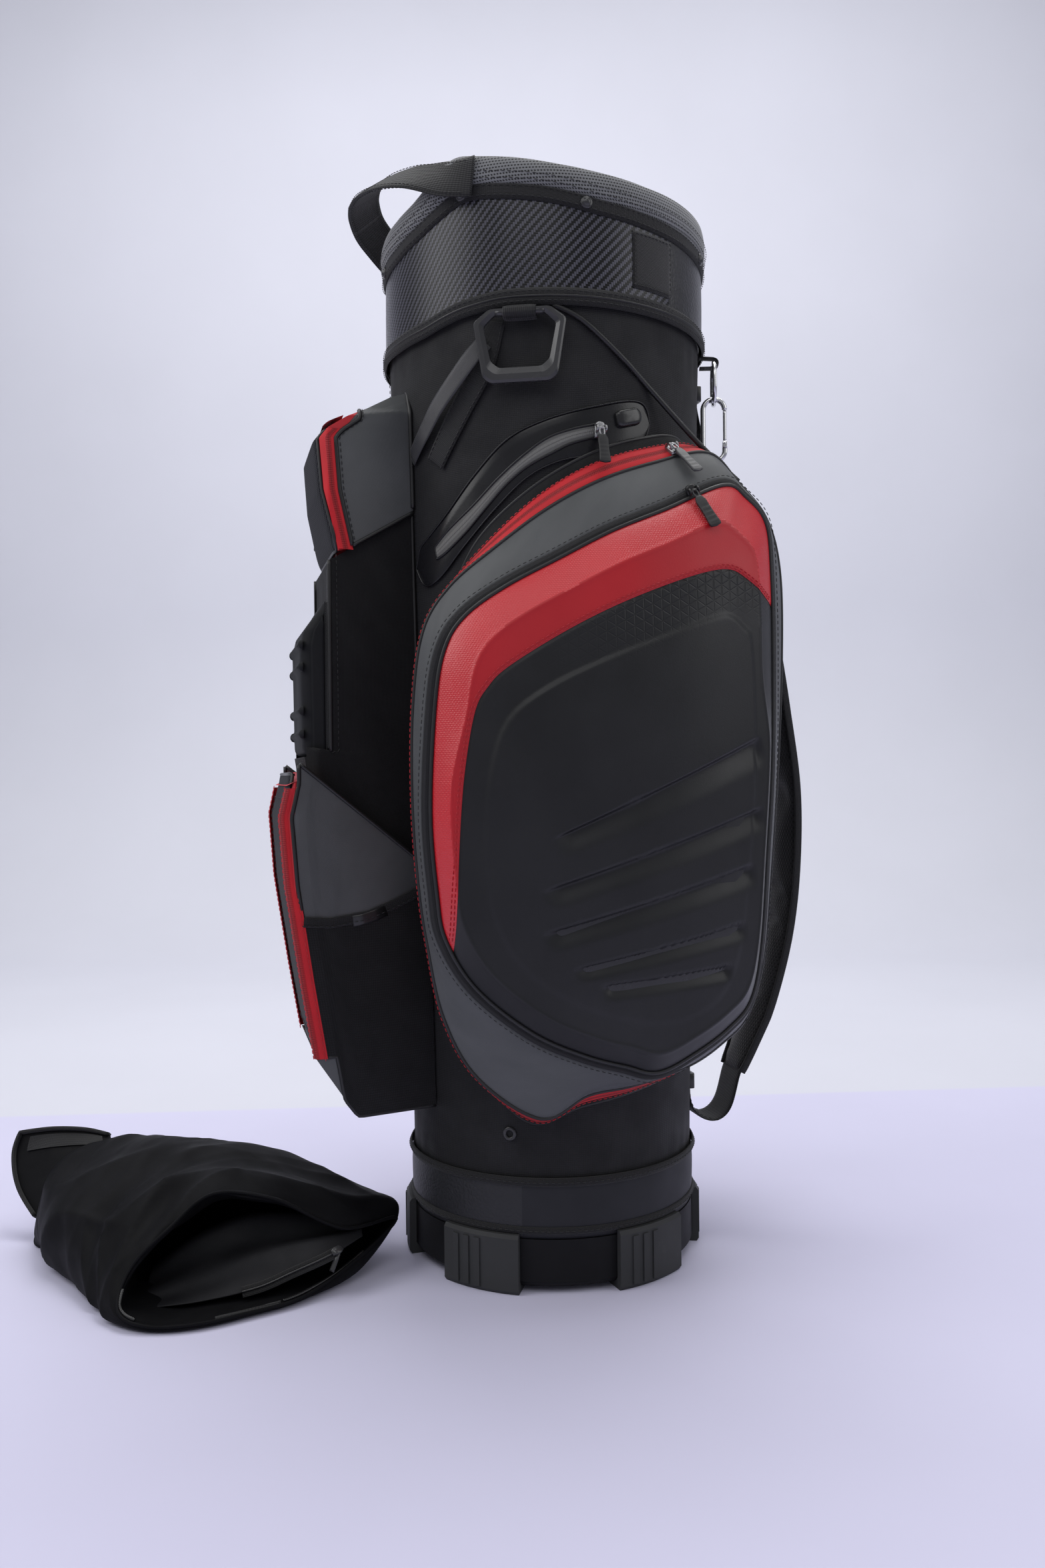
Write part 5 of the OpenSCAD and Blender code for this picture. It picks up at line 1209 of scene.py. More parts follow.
def build_lid(s, side, columns):
    body = "lid_" + side
    th = np.linspace(0, 2 * pi, columns, endpoint=False)
    ray = np.stack([np.cos(th), np.sin(th)], 1)
    edge = radius_of(lid_line, th)
    # where each direction crosses the sewn line
    seam = edge.copy()
    for a, b in zip(SEAM[:-1], SEAM[1:]):
        for i in range(columns):
            m = np.array([ray[i], -(b - a)]).T
            det = m[0, 0] * m[1, 1] - m[0, 1] * m[1, 0]
            if abs(det) < 1e-9:
                continue
            q = a - CENTRE
            r = (q[0] * m[1, 1] - q[1] * m[0, 1]) / det
            t = (m[0, 0] * q[1] - m[1, 0] * q[0]) / det
            if 0 <= t <= 1 and 0 < r < seam[i]:
                seam[i] = r
    flip = s > 0
    ks = np.r_[np.linspace(0.002, 0.86, 96), np.linspace(0.87, 1, 26)]
    pts = CENTRE + ray[None] * (seam[None] * ks[:, None])[..., None]
    black = sided(lid_skin(pts), s)
    grid(body + "_middle", black, "lid_black", body, "moulded_black", body, loop_u=True, flip=flip)
    # red frame: only the directions in which the seam stays inside the edge
    has = edge - seam > 0.6
    start = int(np.argmax(~has))
    order = [(start + i) % columns for i in range(columns)]
    runs = [i for i in order if has[i]]
    idx = np.array([(runs[0] - 1) % columns] + runs + [(runs[-1] + 1) % columns])
    rs = np.linspace(0, 1, 34)
    red = CENTRE + ray[idx][None] * (seam[idx][None] + (edge - seam)[idx][None] * rs[:, None])[..., None]
    mid = 0.5 * (rs[1:] + rs[:-1])[:, None]
    share = (seam[idx][None] * (1 - mid) + edge[idx][None] * mid) / edge[idx][None]
    # the inner band, inside the crease, takes the darker red: painted shade
    fm = np.where(share > lid_crease(th[idx])[None] + 0.004, 0, 1)[:, :-1].ravel()
    grid(body + "_frame", sided(lid_skin(red, 0.25), s), None, body, "red_moulding", flip=flip,
         mats=["lid_red", "lid_red_in_painted_shade"], face_mats=fm)
    # rolled rim and the inner face
    rim = [lid_skin(CENTRE + ray * edge[:, None])]
    base = LID_X - BOW * (CENTRE + ray * edge[:, None])[:, 0] ** 2
    for g, x in ((0.9, 0.2), (1.1, -1.2), (0.5, -2.9), (-1.5, -3.4)):
        q = CENTRE + ray * (edge + g)[:, None]
        rim.append(np.column_stack([base + x, q]))
    for k in (0.93, 0.85, 0.73, 0.4, 0.02):
        q = CENTRE + ray * (edge * k)[:, None]
        x = LID_X - BOW * q[:, 0] ** 2 + np.interp(k, [0.4, 0.73, 0.85, 0.93, 1],
                                                   [20, 18.6, 15.2, 7, 0]) - 4.2
        rim.append(np.column_stack([x, q]))
    grid(body + "_liner", sided(rim, s), "plastic", body, "moulded_black", loop_u=True, flip=flip)
    # stitching each side of the seam, and cord round the edge
    line = SEAM[6:-8]
    q = even(line, 2)
    for name, off, mat in (("red", 1.7, "thread_red"), ("red_outer", 3.6, "thread_red")):
        t = unit(np.gradient(q, axis=0))
        w = q + np.column_stack([t[:, 1], -t[:, 0]]) * off
        stitches("%s_%s_stitch" % (body, name), sided(lid_skin(w, 0.35), s), sided(lid_normals(w), s), body,
                 mat=mat,
                 slot="shell_fabric", pitch=4.4, length=3.0, r=0.38)
    cord = grown(lid_line, 1.2)
    piping(body + "_cord", sided(on_bow(cord, LID_X - 0.2), s), body, 1.7, loop=True)


def build_gusset(s, side):
    body = "gusset_" + side
    flip = s < 0
    outer, inner = gusset_line, grown(lid_line, 7.5)
    rows = [on_bow(grown(outer, -1.5), GUSSET_X), on_bow(outer, GUSSET_X + 0.3),
            on_bow(grown(outer, 0.3), GUSSET_X + 1.2)]
    a, b = on_bow(outer, GUSSET_X + 2.0), on_bow(inner, LID_SEAT)
    waves = wave3(a, 0.035, 21)[:, None]
    for k in np.linspace(0.03, 1, 16):
        q = a * (1 - k) + b * k
        q = q + np.array([1, 0, 0]) * (1.3 * sin(pi * k) + 0.5 * waves * sin(pi * k))
        rows.append(q)
    rows.append(on_bow(grown(lid_line, 4.5), LID_SEAT - 1))
    for k, x in ((0.93, GUSSET_X + 3), (0.6, GUSSET_X + 3), (0.3, GUSSET_X + 3), (0.01, GUSSET_X + 3)):
        q = CENTRE + (gusset_line - CENTRE) * k if k > 0.9 else CENTRE + (lid_line - CENTRE) * k
        rows.append(on_bow(CENTRE + (lid_line - CENTRE) * k, x))
    rows = sided(rows, s)
    n = rows.shape[1]
    m = rows.shape[0]
    fm = np.repeat(np.where(np.arange(m - 1) < 19, 0, 1), n)
    grid(body + "_skin", rows, None, body, "grey_fabric", body, loop_u=True, flip=not flip,
         mats=["grey", "panel"], face_mats=fm)
    # welt between the grey band and the zip beside it
    piping(body + "_edge_cord", sided(on_bow(grown(outer, 0.2), GUSSET_X + 1.6), s), body, 1.5, loop=True)
    # lid zip with its two tapes
    out, ins = grown(lid_line, 7.2), grown(lid_line, 1.0)
    zr = []
    for k in np.linspace(0, 1, 9):
        q = out * (1 - k) + ins * k
        zr.append(on_bow(q, LID_SEAT + 1.0 + 1.1 * (1 - abs(2 * k - 1) ** 3)))
    zr = sided(zr, s)
    u = arc(zr, 1)
    v = np.linspace(-3.1, 3.1, 9)[:, None] * np.ones(zr.shape[1])
    grid("lid_zip_tape_" + side, zr, "black_zip", body, "black_zip", "lid_zip_" + side, loop_u=True,
         flip=not flip, uv=np.stack([u, v], -1))
    p = sided(on_bow(grown(lid_line, 9.5), LID_SEAT + 0.9), s)
    stitches(body + "_zip_stitch", p, np.array([s, 0, 0.0]), body, loop=True, slot="grey_fabric")


def build_walls(s, side):
    foot = np.column_stack([np.sqrt((tube_r(foot_line[:, 1]) + 0.6) ** 2 - foot_line[:, 0] ** 2), foot_line])
    top = on_bow(gusset_line, GUSSET_X - 0.6)
    length = np.linalg.norm(top - foot, axis=1)
    zip_w = np.minimum(16.0, 0.75 * length)
    zs = 1 - zip_w / length
    n = len(foot)
    wave = wave3(foot_line @ np.array([[1, 0, 0], [0, 1, 0]]) + [0, 0, 5], 0.045, 31)
    rows = []
    out = unit(np.cross(tangents(top, True), top - foot))
    out = out * np.sign(np.sum(out * (top - [0, CENTRE[0], CENTRE[1]]), -1, keepdims=True) + 1e-9)
    ks = np.linspace(0, 1, 10)
    for k in ks:
        q = foot + (top - foot) * (zs * k)[:, None]
        rows.append(q + (out * (sin(pi * k) * (1.2 + 1.4 * wave))[:, None]
                         * np.minimum(1, length / 60)[:, None]))
    cloth = np.array(rows)
    zr = []
    for k in np.linspace(0, 1, 11):
        q = foot + (top - foot) * (zs + (1 - zs) * k)[:, None]
        zr.append(q + out * (1.0 + 0.8 * (1 - abs(2 * k - 1) ** 3)))
    zr = np.array(zr)
    grid("side_wall_cloth_" + side, sided(cloth, s), "panel", "bag", "shell_fabric",
         "side_walls" if s > 0 else (), loop_u=True, flip=s > 0)
    # the red zip runs from the top of the back edge, along the top and down the front, round the bottom
    u = arc(zr, 1)
    v = np.linspace(-8, 8, 11)[:, None] * np.ones(n)
    back = ((np.arange(n) + 0.5) / FINE)
    is_back = (back > 23.2) | (back < 3.0)
    fm = np.tile(np.where(is_back, 1, 0), 10)
    grid("side_zip_" + side, sided(zr, s), None, "bag", "red_zip", "red_side_zips" if s > 0 else (),
         loop_u=True, flip=s > 0,
         uv=np.stack([u, v], -1), mats=["red_zip", "panel"], face_mats=fm)
    for k, name in ((0, "inner"), (-1, "outer")):
        q = zr[k] + out * 0.6
        keep = ~is_back
        first = int(np.argmax(is_back))
        idx = [i for i in ((first + j) % n for j in range(n)) if keep[i]]
        stitches("side_zip_stitch_%s_%s" % (side, name), sided(q[idx], s), sided(out[idx], s), "bag",
                 slot="red_zip", mat="thread_red", pitch=4.5)
    piping("side_wall_cord_" + side, sided(foot, s), "bag", 1.6, loop=True)
    # the long cord from the collar down over the pocket's back corner
    path = [around(77, tube_r(786) + 1, 786), around(87, tube_r(774) + 1.2, 774),
            around(101, tube_r(748) + 1.2, 748),
            around(112, tube_r(728) + 1.5, 728)]
    corner = zr[-1][int(3.0 * FINE)] + out[int(3.0 * FINE)] * 1.5
    mid = zr[3][int(4.0 * FINE)] + out[int(4.0 * FINE)] * 2.5
    path += [mid, corner]
    piping("collar_cord_" + side, sided(opened(path, 8), s), "bag", 2.2)
    lid_at = (LID_SEAT + 2.7 - BOW * 72 * 72, 72, 637.5)
    red_at = (R1, 66, 676.2)
    slider("lid_slider_m_" + side, on_side(s, lid_at, 0), BODY_OF["lid_slider_" + side], "lid_slider_"
           + side, 4, "plastic")
    puller("lid_pull_m_" + side, hinged(on_side(s, lid_at, 0), 25), "lid_pull_" + side, "lid_pull_" + side,
           36, "pull", "gunmetal")
    slider("red_slider_m_" + side, on_side(s, red_at, 48), BODY_OF["red_slider_" + side], "red_slider_"
           + side, 7)
    puller("red_pull_m_" + side, hinged(on_side(s, red_at, 48), 40 - 48), "red_pull_" + side, "red_pull_"
           + side, 36, "pull_grey")


BODY_OF = {"lid_slider_right": "lid_right", "lid_slider_left": "lid_left", "red_slider_right": "gusset_right",
           "red_slider_left": "gusset_left"}
for sgn, hand in ((1, "right"), (-1, "left")):
    build_lid(sgn, hand, 520 if sgn > 0 else 300)
    build_gusset(sgn, hand)
    build_walls(sgn, hand)


# ---------------------------------------------------------------- front pocket column
BALL_FRONT = [[-216, 190], [-226, 250], [-238, 330], [-242, 385], [-236, 412]]
ACCESSORY_FRONT = [[-197, 601], [-208, 650], [-211, 692], [-204, 700], [-190, 707]]
ZIP_BACK, BALL_ZIP = 17.4, 9.0
SLIP_TOP = [[-224, 305], [-203, 303], [-172, 307], [-150, 315], [-125, 326], [-100, 330]]


def by_z(t, z):
    a = np.array(t, float)
    return np.interp(z, a[:, 1], a[:, 0])


def by_y(t, y):
    a = np.array(t, float)
    return np.interp(y, a[:, 0], a[:, 1])


def ball_top(y):
    return 425 - 0.809 * (np.asarray(y, float) + 225)


def mid_top(y):
    return 593 + 0.61 * (np.asarray(y, float) + 200)


def half_at(y, root, front, y0):
    y = np.asarray(y, float)
    a = root + (front - root) * (-100 - y) / (-100 - (y0 + 14))
    return np.where(y >= y0 + 14, a, front - 10 * (y0 + 14 - y) / 14)


BALL = (45, 76, -245)
MID = (37, 58, -225)
ACC = (37, 62, -214)


def acc_face(z):
    return np.interp(z, [690, 705, 722, 745], [75, 66, 44, 30])


def junction(z, dims, off=0.8):
    y = np.full(np.shape(z), -118.0)
    for _ in range(8):
        y = -np.sqrt(np.maximum((tube_r(z) + off) ** 2 - half_at(y, *dims) ** 2, 0))
    return y


def side_sheet(dims, front, low, high, n=40, m=44, puff=1.2, lift=0.5, face=None, seed=1, back=None):
    """Points of a pocket's side between its front line and the tube, low and high lines given by Y."""
    t, v = np.meshgrid(np.linspace(0, 1, n), np.linspace(0, 1, m))
    z = np.full(t.shape, 0.5) * (low(-160.0) + high(-160.0))
    for _ in range(14):
        f = front(z)
        y = f + ((junction(z, dims) if back is None else back(z)) - f) * t
        z = low(y) + (high(y) - low(y)) * v
    x = half_at(y, *dims)
    if face is not None:
        x = np.minimum(x, face(z))
    edge = np.sin(pi * np.clip(t, 0, 1)) ** 0.6 * np.sin(pi * v) ** 0.6
    w = wave3(np.stack([x, y, z], -1), 0.05, seed)
    return np.stack([x + lift + edge * (puff + 0.7 * w), y, z], -1)


def both(name, rows, mat, slot, **k):
    out = []
    for s, side in ((1, "right"), (-1, "left")):
        out.append(grid(name + "_" + side, sided(rows, s), mat, "bag", slot, flip=s < 0, **k))
    return out


def zip_side(rows, width):
    u = arc(rows, 0)
    v = np.linspace(-width / 2, width / 2, rows.shape[1])[None] * np.ones(rows.shape[:2])
    return np.stack([u, v], -1)


def cover_sheet(front, dims, z0, z1, n=60, m=64, bulge=1.5, face=None, inset=0.0):
    """Front cover of a pocket: rounded edges all round, a slightly crowned middle."""
    rows = []
    zs = z0 + (z1 - z0) * (0.5 - 0.5 * np.cos(np.linspace(0, pi, m)))
    for z in zs:
        v = 2 * (z - z0) / (z1 - z0) - 1
        f = float(front(z))
        h = float(half_at(f, *dims))
        if face is not None:
            h = min(h, float(face(z)))
        h -= inset
        t = np.sin(np.linspace(-pi / 2, pi / 2, n))
        # a bottom and a top that are rounded in at the corners
        corner = 1 - 0.12 * (abs(v) ** 10)
        ex = 3.8 * (1 - (1 - np.abs(t) ** 9) ** (1 / 3)) + 2.6 * (1 - (1 - min(1, abs(v)) ** 14) ** 0.5)
        y = f + 0.3 + ex - bulge * (1 - t ** 2) * (1 - v ** 2) * 0.3
        rows.append(np.stack([t * h * corner, y, np.full(n, z)], 1))
    return np.array(rows)


def build_ball():
    def front(z):
        return by_z(BALL_FRONT, z) + BALL_ZIP

    def low(y):
        return np.interp(y, [-199, -193, -182, -100], [192, 156, 141, 141])
    side = side_sheet(BALL, front, low, ball_top, 46, 60, 1.4, seed=11)
    both("ball_side", side, "grey", "grey_fabric")
    slip = side_sheet(BALL, front, low, lambda y: by_y(SLIP_TOP, y), 46, 40, 1.6, 1.9, seed=12)
    o = both("slip_cloth", slip, "ripstop", "shell_fabric")
    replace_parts(o[0], "slip_pockets")
    for s, hand in ((1, "right"), (-1, "left")):
        top = sided(slip[-1], s)
        flat_ribbon("slip_binding_" + hand, top + np.array([s * 0.4, 0, -3.5]),
                    np.tile([0, 0.12, 1.0], (len(top), 1)), 8, 1.4,
                    "binding", "bag", "binding", n=7)
        stitches("slip_stitch_" + hand, top + np.array([s * 1.3, 0, -6.2]), np.array([s, 0, 0.0]), "bag")
        # blank tag sewn under the slip pocket's edge
        q = sided(np.array([slip[-1][j] + [0.9, 0, -5.5] for j in (17, 21, 25, 29)]), s)
        flat_ribbon("slip_tag_" + hand, q, np.tile([0, 0.1, 1.0], (4, 1)), 9, 0.9, "badge", "bag", "binding",
                    n=7)
        piping("ball_front_cord_" + hand, sided(side[:, 0] + [0.2, -0.6, 0], s), "bag", 1.7)
        piping("ball_top_cord_" + hand, sided(side[-1] + [0.3, 0, 0.6], s), "bag", 1.6)
        piping("ball_chin_cord_" + hand, sided(side[0] + [0.1, 0, -0.2], s), "bag", 1.6)
    # red zip between cover and side, wrapping over the top
    zs = np.linspace(191, 408, 90)
    rows = []
    a = np.linspace(0, 1, 13)
    for z in zs:
        h = float(half_at(by_z(BALL_FRONT, z) + 4, *BALL))
        # from the front face round the corner to the side
        dx = np.interp(a, [0, 0.42, 0.58, 1], [-9.5, -2.0, 0.9, 1.2])
        dy = np.interp(a, [0, 0.42, 0.58, 1], [-1.2, -1.0, 1.4, 9.2])
        puff = 0.8 * (1 - np.abs(2 * a - 1) ** 3)
        y = by_z(BALL_FRONT, z) + dy - 0.5 * puff
        rows.append(np.stack([h + dx + 0.5 * puff, y, np.minimum(z + 0 * y, ball_top(y))], 1))
    rows = np.array(rows)
    o = []
    for s, hand in ((1, "right"), (-1, "left")):
        o.append(grid("ball_zip_" + hand, sided(rows, s), "red_zip", "bag", "red_zip", flip=s < 0,
                      uv=zip_side(rows, 13)))
        for c in (1, 11):
            stitches("ball_zip_stitch_%s_%d" % (hand, c), sided(rows[:, c] + [0.4, -0.3, 0], s),
                     np.array([s, 0, 0.0]), "bag", slot="red_zip", mat="thread_red", pitch=4.5)
    # over the top
    t = np.linspace(-1, 1, 40)
    top = []
    for y in -236 + np.linspace(-1.0, 9.4, 9):
        h = float(half_at(y, *BALL))
        top.append(np.stack([t * h, np.full(40, y),
                             np.full(40, float(min(ball_top(y), 412 + 0.5 * (y + 232)))) + 0.6], 1))
    top = np.array(top)
    grid("ball_zip_top", top, "red_zip", "bag", "red_zip",
         uv=np.stack([arc(top, 1), np.linspace(-6.5, 6.5, 9)[:, None] * np.ones(40)], -1))
    cover = cover_sheet(lambda z: by_z(BALL_FRONT, z), BALL, 191, 420, inset=7.5)
    grid("ball_cover_cloth", cover, "carbon_cover", "ball_cover", "cover_fabric", "ball_cover", thick=3.0)
    edge = np.concatenate([cover[2:-2, 2], cover[-3, 2:-2], cover[2:-2, -3][::-1], cover[2, 2:-2][::-1]])
    piping("ball_cover_cord", edge + [0, 0.6, 0], "ball_cover", 1.5, loop=True)
    panel = np.concatenate([cover[10:-12, 12], cover[-13, 12:-12], cover[10:-12, -13][::-1],
                            cover[10, 12:-12][::-1]])
    stitches("ball_cover_stitch", panel + [0, -0.1, 0], np.array([0, -1.0, 0]), "ball_cover",
             slot="cover_fabric", loop=True)
    sl = (BALL[1] - BALL[0]) / (-100 + 245 - 14)

    def place(q):
        a = rad(-90 - math.degrees(math.atan(sl)))
        x = q[0] * cos(a) - q[1] * sin(a)
        y = q[0] * sin(a) + q[1] * cos(a)
        return np.array([-45 - sl * 127 - 0.5 + x, -227 + y, 330 + q[2]])
    slider("ball_slider_m", place, "bag", "ball_slider")
    puller("ball_pull_m", hinged(place, 0), "ball_pull", "ball_pull", 32, "pull_grey")


def build_mid():
    def front(z):
        return np.interp(z, [430, 436], [-219.5, -199.5])
    side = side_sheet(MID, front, lambda y: ball_top(y) + 0.6, mid_top, 40, 64, 1.2, 0.5, seed=15)
    both("mid_side", side, "panel", "shell_fabric")
    for s, hand in ((1, "right"), (-1, "left")):
        k = int(np.argmax(side[:, 0, 1] > -205)) + 1
        piping("mid_front_cord_" + hand, sided(side[k:, 0] + [0.1, -0.4, 0], s), "bag", 1.7)
        back = side[:, -1]
        piping("mid_back_cord_" + hand, sided(back[6:] + [0.6, -0.3, 0], s), "bag", 1.5)
        stitches("mid_stitch_" + hand, sided(side[k:, 3] + [0.4, 0, 0], s), np.array([s, 0, 0.0]), "bag",
                 slot="shell_fabric")
        # zip tape beside the cover, standing on the front face
        z = np.linspace(440, 586, 40)
        tape = []
        for x in (50.6, 52.4, 54.2, 56.2):
            tape.append(np.stack([np.full(40, x), np.full(40, -200.6 - 0.9 * (x < 56)), z], 1))
        tape = np.array(tape)
        u = arc(tape, 1)
        v = np.linspace(-2.6, 2.6, 4)[:, None] * np.ones(40)
        grid("mid_zip_" + hand, sided(tape, s), "black_zip", "bag", "black_zip", flip=s < 0,
             uv=np.stack([u, v], -1))
        # raised teeth so that the coil reads from the side
        coil = np.stack([np.full(120, 53.2), np.full(120, -201.6), np.linspace(440, 560, 120)], 1)
        sweep("mid_coil_" + hand, sided(coil, s), section("round", 2.6, 1.6, 8), "plastic", "bag",
              "black_zip",
              taper=0.8 + 0.25 * np.cos(np.arange(120) * pi))
    # moulded cover with four soft ribs
    xs = 51 * np.sin(np.linspace(-pi / 2, pi / 2, 60))
    zz = 434 + 126 * (0.5 - 0.5 * np.cos(np.linspace(0, pi, 110)))
    profile = [434, 524, 537, 555, 560], [-222, -223, -220, -207, -204]
    rows = []
    for z in zz:
        t = np.abs(xs) / 51
        v = (z - 434) / 126
        face = np.interp(z, *profile)
        low = 15 * (1 - (1 - min(1, abs(2 * v - 1)) ** 30) ** 0.5) * (v < 0.5)
        rim = 15 * (1 - (1 - t ** 12) ** 0.45) + low
        y = np.minimum(face + rim, -203.5)
        for c in (452, 471, 507, 525):
            bump = math.exp(-((z - c) / 2.4) ** 2) * (1 - smoothstep(0.78, 0.985, t) * 0.75)
            y = y - 3.0 * bump * (t < 0.995)
        rows.append(np.stack([xs, y, np.full(60, z)], 1))
    rows = np.array(rows)
    grid("mid_cover_moulding", rows, "cover_rubber", "mid_cover", "embossed_cover", "mid_cover", thick=2.4)
    zs = np.linspace(435, 559, 40)
    depth = np.interp(zs, *profile) + 8 + 203.9
    for s, hand in ((1, "right"), (-1, "left")):
        wall = []
        for f in np.linspace(0, 1, 6):
            wall.append([[s * (50.6 - 0.8 * f), -203.9 + d * f, z] for z, d in zip(zs, depth)])
        grid("mid_cover_wall_" + hand, np.array(wall), "cover_rubber", "mid_cover", "embossed_cover",
             flip=s > 0, thick=1.5)
        for c in (452, 471, 507, 525):
            a = np.linspace(0, 2 * pi, 14, endpoint=False)
            ball = []
            for e in np.linspace(0.05, pi / 2, 6):
                out, up = 4.6 * sin(e), 4.2 * sin(e)
                y = -221.3 - 3.6 * cos(e)
                ball.append([[s * (47.0 + out * cos(q)), y, c + up * sin(q)] for q in a])
            grid("mid_bump_%s_%d" % (hand, c), np.array(ball), "cover_rubber", "mid_cover", "embossed_cover",
                 loop_u=True, flip=s > 0)


def build_accessory():
    def front(z):
        return by_z(ACCESSORY_FRONT, z) + ZIP_BACK + 0.2

    def high(y):
        return np.interp(y, [-190, -145, -100], [707, 735, 752])

    def low(y):
        return np.maximum(601, mid_top(y) + 0.6)
    side = side_sheet(ACC, front, low, high, 44, 56, 1.8, 0.5, face=acc_face, seed=17)
    both("accessory_side", side, "grey", "grey_fabric")
    # the top closes across between the two sides
    edge = side[-1]
    t = np.linspace(-1, 1, 50)
    top = []
    for p in edge:
        x = p[0] * t
        top.append(np.stack([x, np.full(50, p[1]), p[2] + 1.5 * (1 - t ** 4)], 1))
    top = np.array(top)
    grid("accessory_top", top, "grey", "bag", "grey_fabric", flip=True)
    for s, hand in ((1, "right"), (-1, "left")):
        piping("accessory_front_cord_" + hand, sided(side[:, 0] + [0.2, -0.6, 0], s), "bag", 1.9)
        piping("accessory_low_cord_" + hand, sided(side[0] + [0.5, 0, 0], s), "bag", 1.7)
        tubeward = np.array([p + [0.8 * s, 0, 0] for p in sided(side[2:, -1], s)])
        piping("accessory_back_cord_" + hand, tubeward, "bag", 1.9)
        stitches("accessory_stitch_" + hand, sided(side[:, 2] + [0.3, 0, 0], s), np.array([s, 0, 0.0]),
                 "bag", slot="grey_fabric")
    zs = np.linspace(602, 699, 50)
    rows = []
    for z in zs:
        y = by_z(ACCESSORY_FRONT, z) + np.linspace(4.2, 17.2, 11)
        x = np.minimum(half_at(y, *ACC), acc_face(z)) + 0.4 + 0.9 * (1 - np.abs(np.linspace(-1, 1, 11)) ** 3)
        rows.append(np.stack([x, y, np.full(11, z)], 1))
    rows = np.array(rows)
    for s, hand in ((1, "right"), (-1, "left")):
        grid("accessory_zip_" + hand, sided(rows, s), "red_zip", "bag", "red_zip", flip=s < 0,
             uv=zip_side(rows, 13))
    t = np.linspace(-1, 1, 40)
    tr = []
    for k in np.linspace(0, 1, 9):
        y, z = -204 + 17 * k, 700.5 + 10.0 * k ** 0.8
        tr.append(np.stack([t * min(float(half_at(y, *ACC)), float(acc_face(z))), np.full(40, y),
                            np.full(40, z) + 0.6], 1))
    tr = np.array(tr)
    grid("accessory_zip_top", tr, "red_zip", "bag", "red_zip",
         uv=np.stack([arc(tr, 1), np.linspace(-6.5, 6.5, 9)[:, None] * np.ones(40)], -1))
    cover = cover_sheet(lambda z: by_z(ACCESSORY_FRONT, z), ACC, 601, 704, face=acc_face, m=50)
    grid("accessory_cover_cloth", cover, "carbon_cover", "accessory_cover", "cover_fabric",
         "accessory_cover", thick=3.0)
    edge = np.concatenate([cover[2:-2, 2], cover[-3, 2:-2], cover[2:-2, -3][::-1], cover[2, 2:-2][::-1]])
    piping("accessory_cover_cord", edge + [0, 0.6, 0], "accessory_cover", 1.5, loop=True)
    sl = (ACC[1] - ACC[0]) / (-100 + 214 - 14)

    def place(q):
        a = rad(-90 - math.degrees(math.atan(sl)))
        x = q[0] * cos(a) - q[1] * sin(a)
        y = q[0] * sin(a) + q[1] * cos(a)
        return np.array([-37 - sl * 97 - 0.5 + x, -197 + y, 650 + q[2]])
    slider("accessory_slider_m", place, "bag", "accessory_slider")
    puller("accessory_pull_m", hinged(place, 0), "accessory_pull", "accessory_pull", 28, "pull_grey")


# ---------------------------------------------------------------- shoulder strap
PAD_LINE = [[148, 712], [170, 672], [194, 606], [212, 540], [224, 470], [233, 400], [232, 330], [224, 268],
            [208, 210], [190, 166], [176, 136]]


def inflate(o, voxel, cap, frames=18, pressure=4.0):
    """Swells a closed pad with a cloth simulation; no point moves more than cap (mm)."""
    m = o.modifiers.new("voxels", "REMESH")
    m.mode = "VOXEL"
    m.voxel_size = voxel * MM
    dg = bpy.context.evaluated_depsgraph_get()
    me = bpy.data.meshes.new_from_object(o.evaluated_get(dg))
    o.modifiers.remove(m)
    mats = [x for x in o.data.materials]
    old = o.data
    o.data = me
    me.materials.clear()
    for x in mats:
        me.materials.append(x)
    start = np.empty(len(me.vertices) * 3)
    me.vertices.foreach_get("co", start)
    start = start.reshape(-1, 3)
    c = o.modifiers.new("cloth", "CLOTH")
    c.settings.use_pressure = True
    c.settings.uniform_pressure_force = pressure
    c.settings.effector_weights.gravity = 0
    c.settings.tension_stiffness = c.settings.compression_stiffness = 22
    c.settings.quality = 5
    c.point_cache.frame_start, c.point_cache.frame_end = 1, frames
    for f in range(1, frames + 1):
        scene.frame_set(f)
    ev = o.evaluated_get(bpy.context.evaluated_depsgraph_get()).to_mesh()
    end = np.empty(len(ev.vertices) * 3)
    ev.vertices.foreach_get("co", end)
    end = end.reshape(-1, 3)
    o.modifiers.remove(c)
    d = end - start
    n = np.linalg.norm(d, axis=1, keepdims=True)
    d = d * np.minimum(1, cap * MM / np.maximum(n, 1e-9))
    me.vertices.foreach_set("co", (start + d).ravel())
    me.polygons.foreach_set("use_smooth", [True] * len(me.polygons))
    me.update()
    scene.frame_set(1)
    s = o.modifiers.new("smooth", "SUBSURF")
    s.levels = s.render_levels = 1
    bpy.data.meshes.remove(old)
    return o


def pad_taper(at, half):
    """Half width of the strap pad at a share of its length, and how full its ends are."""
    near = 1 - abs(2 * at - 1)
    end = min(1.0, near / 0.045 + 0.25)
    return half * (0.72 + 0.28 * min(1, near * 5)) * (0.9 + 0.1 * end), end


